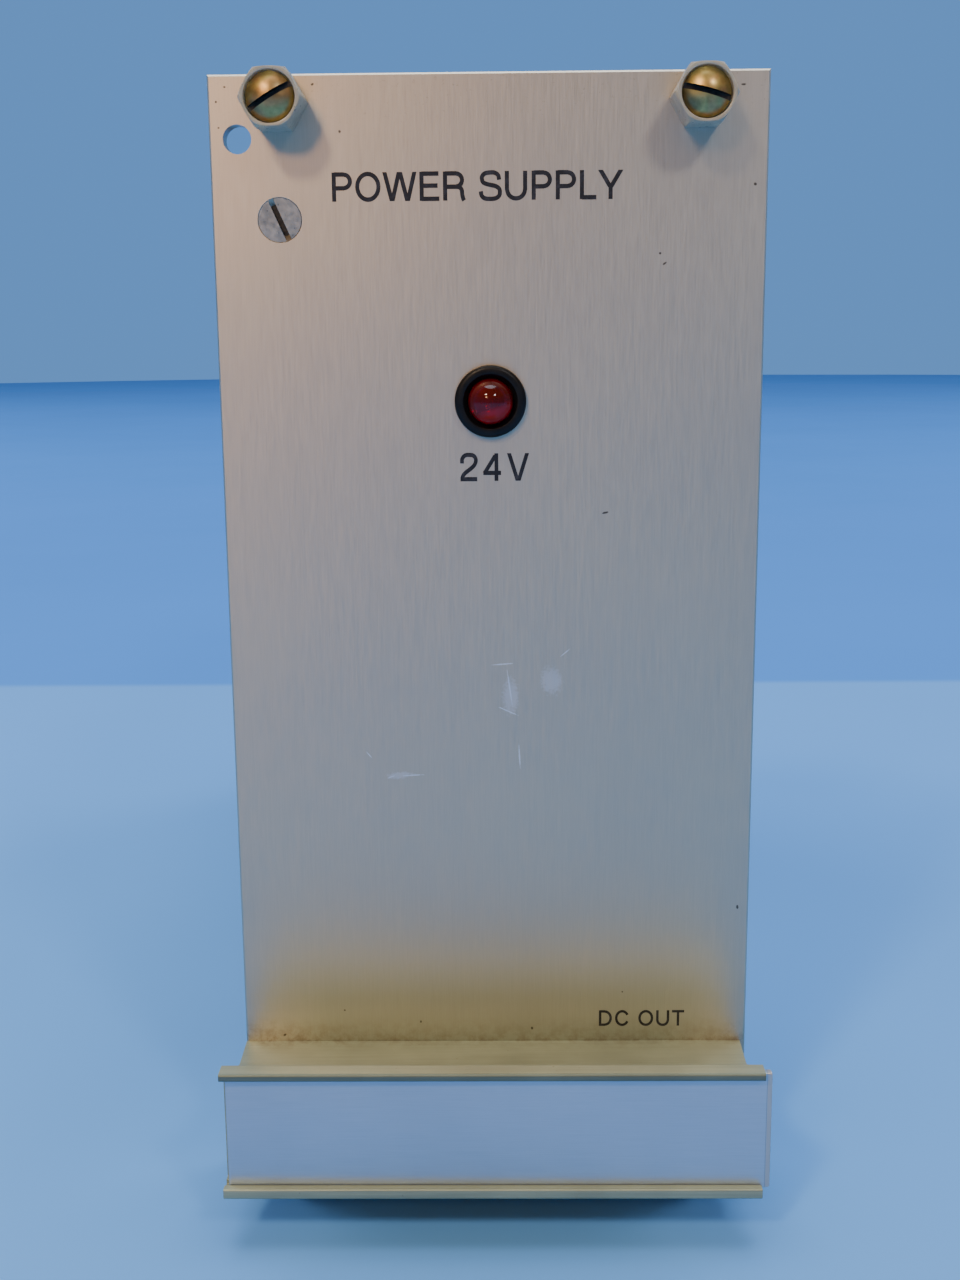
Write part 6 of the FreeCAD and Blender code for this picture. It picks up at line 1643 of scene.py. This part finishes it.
class CARD_OT_fuse(bpy.types.Operator):
    """Build the glass fuse with its wire, its caps and the sprung clips"""
    bl_idname = "card.fuse"
    bl_label = "Fuse"

    def execute(self, context):
        glass = Finish("fuse_glass", IOR=1.5, Transmission_Weight=1.0)
        glass.feed(Base_Color=glass.ramp(glass.noise(0.4), (0.3, (0.93, 0.96, 0.95)), (0.7, (0.98, 0.99, 0.98))),
                   Roughness=glass.ramp(glass.noise(1.1), (0.3, 0.02), (0.7, 0.08)))
        repaint("fuse_glass", glass.material)
        low, high = span("fuse_caps")
        axis_x, axis_z = (low[0] + high[0]) / 2, (low[2] + high[2]) / 2
        caps = Surface()
        profile = ((2.2, 4.6), (2.5, 4.6), (2.5, 0.45), (2.38, 0.14), (2.1, 0.0), (0.5, 0.0), (0.42, 0.1), (0.0, 0.1),
                   (0.0, 0.3), (2.0, 0.3), (2.2, 0.5))
        caps.lathe(profile, 56, turn=BACKWARD, spot=(axis_x, low[1], axis_z))
        caps.lathe(profile, 56, turn=FORWARD, spot=(axis_x, high[1], axis_z))
        piece("fuse_end_caps", caps, [tin()], "root", ("fuse_caps",), 0.05, 40, 2)
        wire = Surface()
        share = np.linspace(0, 1, 30)
        path = np.stack((axis_x + 0.5 * np.sin(math.pi * share), low[1] + 2 + share * (high[1] - low[1] - 4),
                         axis_z + 0.3 * np.sin(2 * math.pi * share)), axis=-1)
        wire.tube(path, 0.09, 8)
        piece("fuse_wire", wire, [tin()], "root")
        softened("fuse_clips", "sprung_clips", tin(), "root", 0.09, 40, 2)
        return {"FINISHED"}


# ---------------------------------------------------------------- small parts

def lead_pair(surface, centre, reach, lift, finish):
    """Both leads of an axial part: out of the body, round a bend and down to the board."""
    for side in (LEFT, RIGHT):
        out = reach - 0.25
        bend = arc((out - 0.7, lift - 0.7), 0.7, 90, 0, 7)
        run = np.concatenate((((0.0, lift),), bend, ((out, 0.0),)))
        path = np.column_stack((PARTS_SIDE + run[:, 1], centre[0] + side * run[:, 0], np.full(len(run), centre[1])))
        surface.tube(path, 0.25, 10, finish)


BAND_TONES = {
    "brown": (0.13, 0.045, 0.015), "red": (0.45, 0.02, 0.015), "orange": (0.62, 0.18, 0.02),
    "yellow": (0.66, 0.50, 0.04), "green": (0.03, 0.18, 0.05), "gold": (0.45, 0.32, 0.10),
    "black": (0.01, 0.01, 0.01), "violet": (0.14, 0.05, 0.22), "grey": (0.25, 0.25, 0.25),
}
BANDS = (
    ("yellow", "violet", "red", "gold"), ("brown", "black", "red", "gold"), ("orange", "orange", "brown", "gold"),
    ("red", "red", "orange", "gold"), ("brown", "green", "orange", "gold"), ("grey", "red", "brown", "gold"),
)


class CARD_OT_resistors(bpy.types.Operator):
    """Build the row of banded resistors and the ceramic power resistor"""
    bl_idname = "card.resistors"
    bl_label = "Resistors"

    def execute(self, context):
        tones = list(BAND_TONES)
        body = mottled("resistor_lacquer", (0.52, 0.38, 0.22), 0.08, 1.5, (0.26, 0.42), 5.0, 0.2, 0.02)
        bands = [mottled("band_" + tone, BAND_TONES[tone], 0.08, 1.5, (0.26, 0.42), 5.0) for tone in tones]
        surface = Surface()
        lift = 1.5
        for row, names in enumerate(BANDS):
            y, z = on_board(11.0, 27.0 + 5.08 * row)
            self.body(surface, (PARTS_SIDE + lift, y, z), [tones.index(name) + 2 for name in names])
            lead_pair(surface, (y, z), 5.0, lift, 1)
        piece("banded_resistors", surface, [body, tin()] + bands, "root", ("resistors",), angle=55)
        low, high = span("power_resistor")
        block = Surface()
        block.block(low + (3.0, 0, 0), high, 0.7, 0.35, 0.1)
        for place in (low[1] + 0.3, high[1] - 0.9):
            block.block((low[0], place, middle("power_resistor")[2] - 0.3),
                        (low[0] + 3.4, place + 0.6, middle("power_resistor")[2] + 0.3), 0.1, 0.02, finish=1)
        white = mottled("cement", (0.62, 0.61, 0.56), 0.07, 0.5, (0.6, 0.8), 1.8, 0.5, 0.08)
        piece("ceramic_resistor", block, [white, tin()], "root", ("power_resistor",), angle=50)
        return {"FINISHED"}

    @staticmethod
    def body(surface, spot, bands):
        """A turned dog-bone: two rounded ends a little wider than the waist, with four painted bands."""
        half = 3.2
        y = np.concatenate((-half + 0.45 * (1 - np.cos(np.linspace(0, math.pi / 2, 6))),
                            np.linspace(-2.6, 2.6, 27),
                            (half - 0.45 * (1 - np.cos(np.linspace(0, math.pi / 2, 6))))[::-1]))
        bulge = np.exp(-((np.abs(y) - 2.15) / 0.65) ** 2)
        ends = np.sqrt(np.clip(1 - ((np.abs(y) - 2.4) / 0.82) ** 2, 0.02, 1))
        radius = np.where(np.abs(y) > 2.4, 1.19 * ends, 1.03 + 0.16 * bulge)
        mid = (y[:-1] + y[1:]) / 2
        finish = np.zeros(len(mid), int)
        for at, band in zip((-2.1, -1.1, -0.3, 1.9), bands):
            finish[np.abs(mid - at) < 0.26] = band
        surface.lathe(np.stack((radius, y), axis=-1), 28, finish, BACKWARD, spot)


class CARD_OT_rectifier(bpy.types.Operator):
    """Build the bridge rectifier and the two separate diodes"""
    bl_idname = "card.rectifier"
    bl_label = "Rectifier and Diodes"

    def execute(self, context):
        low, high = span("bridge_rectifier")
        surface = Surface()
        surface.block(low + (3.0, 0, 0), high, 1.1, 0.35, 0.15)
        for place in (-3, -1, 1, 3):
            y, z = on_board(65.0 + 2.54 * place, 66.0)
            surface.block((low[0], y - 0.6, z - 0.3), (low[0] + 3.4, y + 0.6, z + 0.3), 0.1, 0.03, finish=1)
        surface.lathe(((0.0, 0.0), (1.9, 0.0), (1.9, 0.12), (1.7, 0.14), (0.0, 0.05)), 40, 0, UPRIGHT,
                      (low[0] + 12.0, (low[1] + high[1]) / 2, high[2] - 0.13))
        piece("bridge_moulding", surface, [black_plastic(), tin()], "root", ("bridge_rectifier",),
              angle=50)
        silver = mottled("diode_band", (0.55, 0.55, 0.56), 0.06, 1.5, (0.3, 0.4), 5.0, 0.1, 0.02)
        diodes = Surface()
        for row in range(2):
            y, z = on_board(88.0, 84.0 + 8.0 * row)
            level = np.concatenate(((-4.5, -4.4), np.linspace(-4.15, 4.15, 20), (4.4, 4.5)))
            radius = np.concatenate(((2.1, 2.38), np.full(20, 2.48), (2.38, 2.1)))
            mid = (level[:-1] + level[1:]) / 2
            finish = np.where(np.abs(mid - 3.0) < 0.66, 2, 0)
            diodes.lathe(np.stack((radius, level), axis=-1), 44, finish, BACKWARD, (PARTS_SIDE + 2.8, y, z))
            lead_pair(diodes, (y, z), 6.4, 2.8, 1)
        piece("moulded_diodes", diodes, [black_plastic(), tin(), silver], "root", ("diodes",),
              angle=50)
        return {"FINISHED"}


class CARD_OT_surge_arrester(bpy.types.Operator):
    """Build the lacquered disc of the surge arrester"""
    bl_idname = "card.surge_arrester"
    bl_label = "Surge Arrester"

    def execute(self, context):
        low, high = span("surge_arrester")
        centre = ((high[0] - 6.0), (low[1] + high[1]) / 2, (low[2] + high[2]) / 2)
        lean = np.linspace(-math.pi / 2, math.pi / 2, 15)
        profile = np.concatenate((((0.0, -1.55), (4.0, -1.6)), np.stack(
            (4.35 + 1.62 * np.cos(lean), 1.72 * np.sin(lean)), axis=-1), ((4.0, 1.6), (0.0, 1.55))))
        surface = Surface()
        surface.lathe(profile, 64, turn=BACKWARD, spot=centre)
        for side in (LEFT, RIGHT):
            z = centre[2] + side * 2.54
            path = np.array(((low[0], 0, z), (low[0] + 1.5, 0, z), (low[0] + 3.5, 0, z), (low[0] + 6.0, 0, z)))
            path[:, 1] = centre[1]
            surface.tube(path[:, :], np.array((0.25, 0.25, 0.62, 0.7)), 14, np.repeat((1, 0, 0), 14))
        blue = mottled("disc_lacquer", (0.03, 0.10, 0.30), 0.12, 0.8, (0.16, 0.32), 3.0, 0.25, 0.05, Coat_Weight=0.4)
        piece("lacquered_disc", surface, [blue, tin()], "root", ("surge_arrester",), angle=60)
        return {"FINISHED"}


class CARD_OT_control_chip(bpy.types.Operator):
    """Build the dual in-line control chip with its bent legs"""
    bl_idname = "card.control_chip"
    bl_label = "Control Chip"

    def execute(self, context):
        low, high = span("control_chip")
        centre_y = (low[1] + high[1]) / 2
        surface = Surface()
        surface.block((low[0] + 0.6, centre_y - 3.2, low[2]), (high[0], centre_y + 3.2, high[2]), 0.15, 0.12, 0.28)
        surface.lathe(((0.0, 0.0), (0.75, 0.0), (0.7, 0.03), (0.0, 0.01)), 28, 2, RIGHTWARD,
                      (high[0] - 0.02, centre_y - 2.0, high[2] - 1.6))
        for row in range(-3, 4):
            _, z = on_board(0, 23.6 + 2.54 * row)
            for side in (LEFT, RIGHT):
                bend = arc((3.55, 1.85), 0.4, 90, 0, 5)
                run = np.concatenate((((2.6, 2.25),), bend, ((3.95, 0.9), (3.95, 0.0))))
                path = np.column_stack((low[0] + run[:, 1], centre_y + side * run[:, 0], np.full(len(run), z)))
                surface.ribbon(path, np.array([1.3] * (len(run) - 2) + [0.55, 0.5]), 0.26, (0, 0, 1), 1)
        dull = mottled("chip_mark", (0.035, 0.035, 0.037), 0.1, 1.5, (0.5, 0.6), 6.0)
        piece("moulded_chip", surface, [black_plastic(), tin(), dull], "root", ("control_chip",),
              angle=45)
        return {"FINISHED"}


class CARD_OT_trimmer(bpy.types.Operator):
    """Build the square output trimmer and its brass screw"""
    bl_idname = "card.trimmer"
    bl_label = "Trimmer"

    def execute(self, context):
        blue = mottled("trimmer_plastic", (0.02, 0.09, 0.24), 0.1, 0.8, (0.3, 0.45), 4.0, 0.2, 0.03)
        softened("trimmer_body", "trimmer_case", blue, "root", 0.3, 40, 3)
        brass = brushed("turned_brass", (0.58, 0.41, 0.15), (1, 1, 1), 0.12, (0.22, 0.36), 0.1, 2.0)
        softened("trimmer_screw", "trimmer_screw_brass", brass, "trimmer_screw", 0.12, 40, 2)
        return {"FINISHED"}


# ---------------------------------------------------------------- stage

ROOM_FRONT = (0.46, 0.58, 0.76, 1.0)
ROOM_CEILING = (1.15, 0.62, 0.24, 1.0)
ROOM_REAR = (0.31, 0.81, 1.86, 1.0)


class CARD_OT_stage(bpy.types.Operator):
    """Set the pale floor, the soft lights, the room round it and the camera"""
    bl_idname = "card.stage"
    bl_label = "Floor, Lights and Camera"

    def execute(self, context):
        self.ground()
        self.light("key_light", settings().key_power, (1.0, 0.80, 0.60), (-300, -680, 640), 110, (-20, -80, 100))
        self.light("side_light", settings().side_power, (0.97, 0.97, 1.0), (320, -680, 600), 120, (20, -80, 100))
        self.light("front_light", settings().front_power, (1.0, 0.56, 0.26), (-230, -700, 390), 110, (0, -80, 90))
        for side, name in ((LEFT, "rear_left_light"), (RIGHT, "rear_right_light")):
            self.light(name, settings().rear_power, (1.0, 0.98, 0.95), (side * 1500, 1100, 1100), 900, (0, 20, 60))
        self.light("top_light", settings().top_power, (0.80, 0.91, 1.0), (0, 100, 2400), 1800, (0, 0, 40))
        self.surroundings()
        self.camera()
        return {"FINISHED"}

    @staticmethod
    def ground():
        """A flat round floor: rings of growing radius about the middle."""
        radius = np.array((0.0, 300.0, 900.0, 2600.0))
        angle = np.linspace(0, 2 * math.pi, 72, endpoint=False)
        surface = Surface()
        points = np.stack((radius[:, None] * np.cos(angle), radius[:, None] * np.sin(angle),
                           np.zeros((len(radius), len(angle)))), axis=-1)
        surface.grid(points, ends=False)
        mesh = bpy.data.meshes.new("floor")
        mesh.from_pydata((np.concatenate(surface.points) * MM).tolist(), [], surface.faces)
        tidy_mesh(mesh)
        if mesh.polygons[0].normal.z < 0:
            mesh.flip_normals()
        finish = Finish("pale_floor", Specular_IOR_Level=0.12)
        colour = settings().floor
        tone = finish.ramp(finish.noise(0.004), (0.35, shade(colour, 0.97)), (0.65, shade(colour, 1.02)))
        _, behind, _ = finish.axes()
        far = finish.ramp(finish.sum("MULTIPLY", finish.sum("SUBTRACT", behind, 178.0), 0.2), (0.0, 0.0), (1.0, 1.0))
        tone = finish.blend("MULTIPLY", tone, (0.52, 0.72, 0.92), far)
        finish.feed(Base_Color=tone,
                    Roughness=finish.ramp(finish.noise(0.02), (0.3, 0.72), (0.7, 0.80)))
        mesh.materials.append(finish.material)
        thing = bpy.data.objects.new("floor", mesh)
        bpy.context.scene.collection.objects.link(thing)

    @staticmethod
    def light(name, power, colour, spot, size, aim):
        lamp = bpy.data.lights.new(name, "AREA")
        lamp.energy = power
        lamp.color = colour
        lamp.shape = "DISK"
        lamp.size = size * MM
        thing = bpy.data.objects.new(name, lamp)
        place, target = Vector(spot) * MM, Vector(aim) * MM
        thing.matrix_world = Matrix.Translation(place) @ (place - target).to_track_quat("Z", "Y").to_matrix().to_4x4()
        bpy.context.scene.collection.objects.link(thing)

    @staticmethod
    def surroundings():
        """A soft room: pale blue behind the card, pale grey in front of it, warmer towards the ceiling."""
        world = bpy.data.worlds.new("room")
        world.use_nodes = True
        tree = world.node_tree
        place = tree.nodes.new("ShaderNodeTexCoord")
        split = tree.nodes.new("ShaderNodeSeparateXYZ")
        tree.links.new(place.outputs["Generated"], split.inputs[0])

        def graded(axis, low, high, first, second):
            share = tree.nodes.new("ShaderNodeMapRange")
            share.interpolation_type = "SMOOTHSTEP"
            tree.links.new(split.outputs[axis], share.inputs["Value"])
            share.inputs["From Min"].default_value = low
            share.inputs["From Max"].default_value = high
            mix = tree.nodes.new("ShaderNodeMix")
            mix.data_type = "RGBA"
            tree.links.new(share.outputs["Result"], mix.inputs["Factor"])
            for socket, value in ((mix.inputs[6], first), (mix.inputs[7], second)):
                if isinstance(value, tuple):
                    socket.default_value = value
                else:
                    tree.links.new(value, socket)
            return mix.outputs[2]

        front = graded("Z", 0.16, 0.50, ROOM_FRONT, ROOM_CEILING)
        colour = graded("Y", -0.35, 0.35, front, ROOM_REAR)
        back = tree.nodes["Background"]
        tree.links.new(colour, back.inputs["Color"])
        back.inputs["Strength"].default_value = settings().room
        bpy.context.scene.world = world

    @staticmethod
    def camera():
        """The camera stands in front, a little above the middle, and looks slightly down."""
        pitch, yaw, roll = math.radians(11.65), math.radians(-0.86), math.radians(-0.51)
        ahead = Vector((math.sin(yaw) * math.cos(pitch), math.cos(yaw) * math.cos(pitch), -math.sin(pitch)))
        level = Vector((math.cos(yaw), -math.sin(yaw), 0.0))
        rise = level.cross(ahead)
        right = level * math.cos(roll) + rise * math.sin(roll)
        up = right.cross(ahead)
        turn = Matrix((right, up, -ahead)).transposed().to_4x4()
        lens = bpy.data.cameras.new("camera")
        lens.sensor_width = 36.0
        lens.lens = 43.9
        lens.clip_start = 0.01
        thing = bpy.data.objects.new("camera", lens)
        thing.matrix_world = Matrix.Translation(Vector((1.24, -254.84, 102.5)) * MM) @ turn
        bpy.context.scene.collection.objects.link(thing)
        bpy.context.scene.camera = thing


# ---------------------------------------------------------------- sidebar

STEPS = (
    CARD_OT_front_panel, CARD_OT_lettering, CARD_OT_collar_sleeves, CARD_OT_captive_screws, CARD_OT_bracket_screw,
    CARD_OT_lamp, CARD_OT_lamp_wires, CARD_OT_pull_handle, CARD_OT_label_strip, CARD_OT_brackets,
    CARD_OT_handle_screws, CARD_OT_board_screws, CARD_OT_circuit_board, CARD_OT_rear_plug,
    CARD_OT_transformer_core, CARD_OT_transformer_coils, CARD_OT_transformer_straps, CARD_OT_round_capacitors,
    CARD_OT_film_capacitor, CARD_OT_heatsink, CARD_OT_pass_transistor, CARD_OT_fuse, CARD_OT_resistors,
    CARD_OT_rectifier, CARD_OT_surge_arrester, CARD_OT_control_chip, CARD_OT_trimmer, CARD_OT_stage,
)


class CARD_PT_card(bpy.types.Panel):
    """Everything that builds the card, one button a piece"""
    bl_idname = "CARD_PT_card"
    bl_label = "Power Supply Card"
    bl_space_type = "VIEW_3D"
    bl_region_type = "UI"
    bl_category = "Card"

    def draw(self, context):
        for name in CardSettings.__annotations__:
            self.layout.prop(context.scene.card_settings, name)
        for step in STEPS:
            self.layout.operator(step.bl_idname)


CLASSES = (CardSettings,) + STEPS + (CARD_PT_card,)


def register():
    for item in CLASSES:
        bpy.utils.register_class(item)
    bpy.types.Scene.card_settings = bpy.props.PointerProperty(type=CardSettings)


def unregister():
    del bpy.types.Scene.card_settings
    for item in reversed(CLASSES):
        bpy.utils.unregister_class(item)


def main():
    register()
    for step in STEPS:
        area, name = step.bl_idname.split(".")
        if getattr(getattr(bpy.ops, area), name)() != {"FINISHED"}:
            raise RuntimeError(step.bl_label + " was not built")


if __name__ == "__main__":
    main()
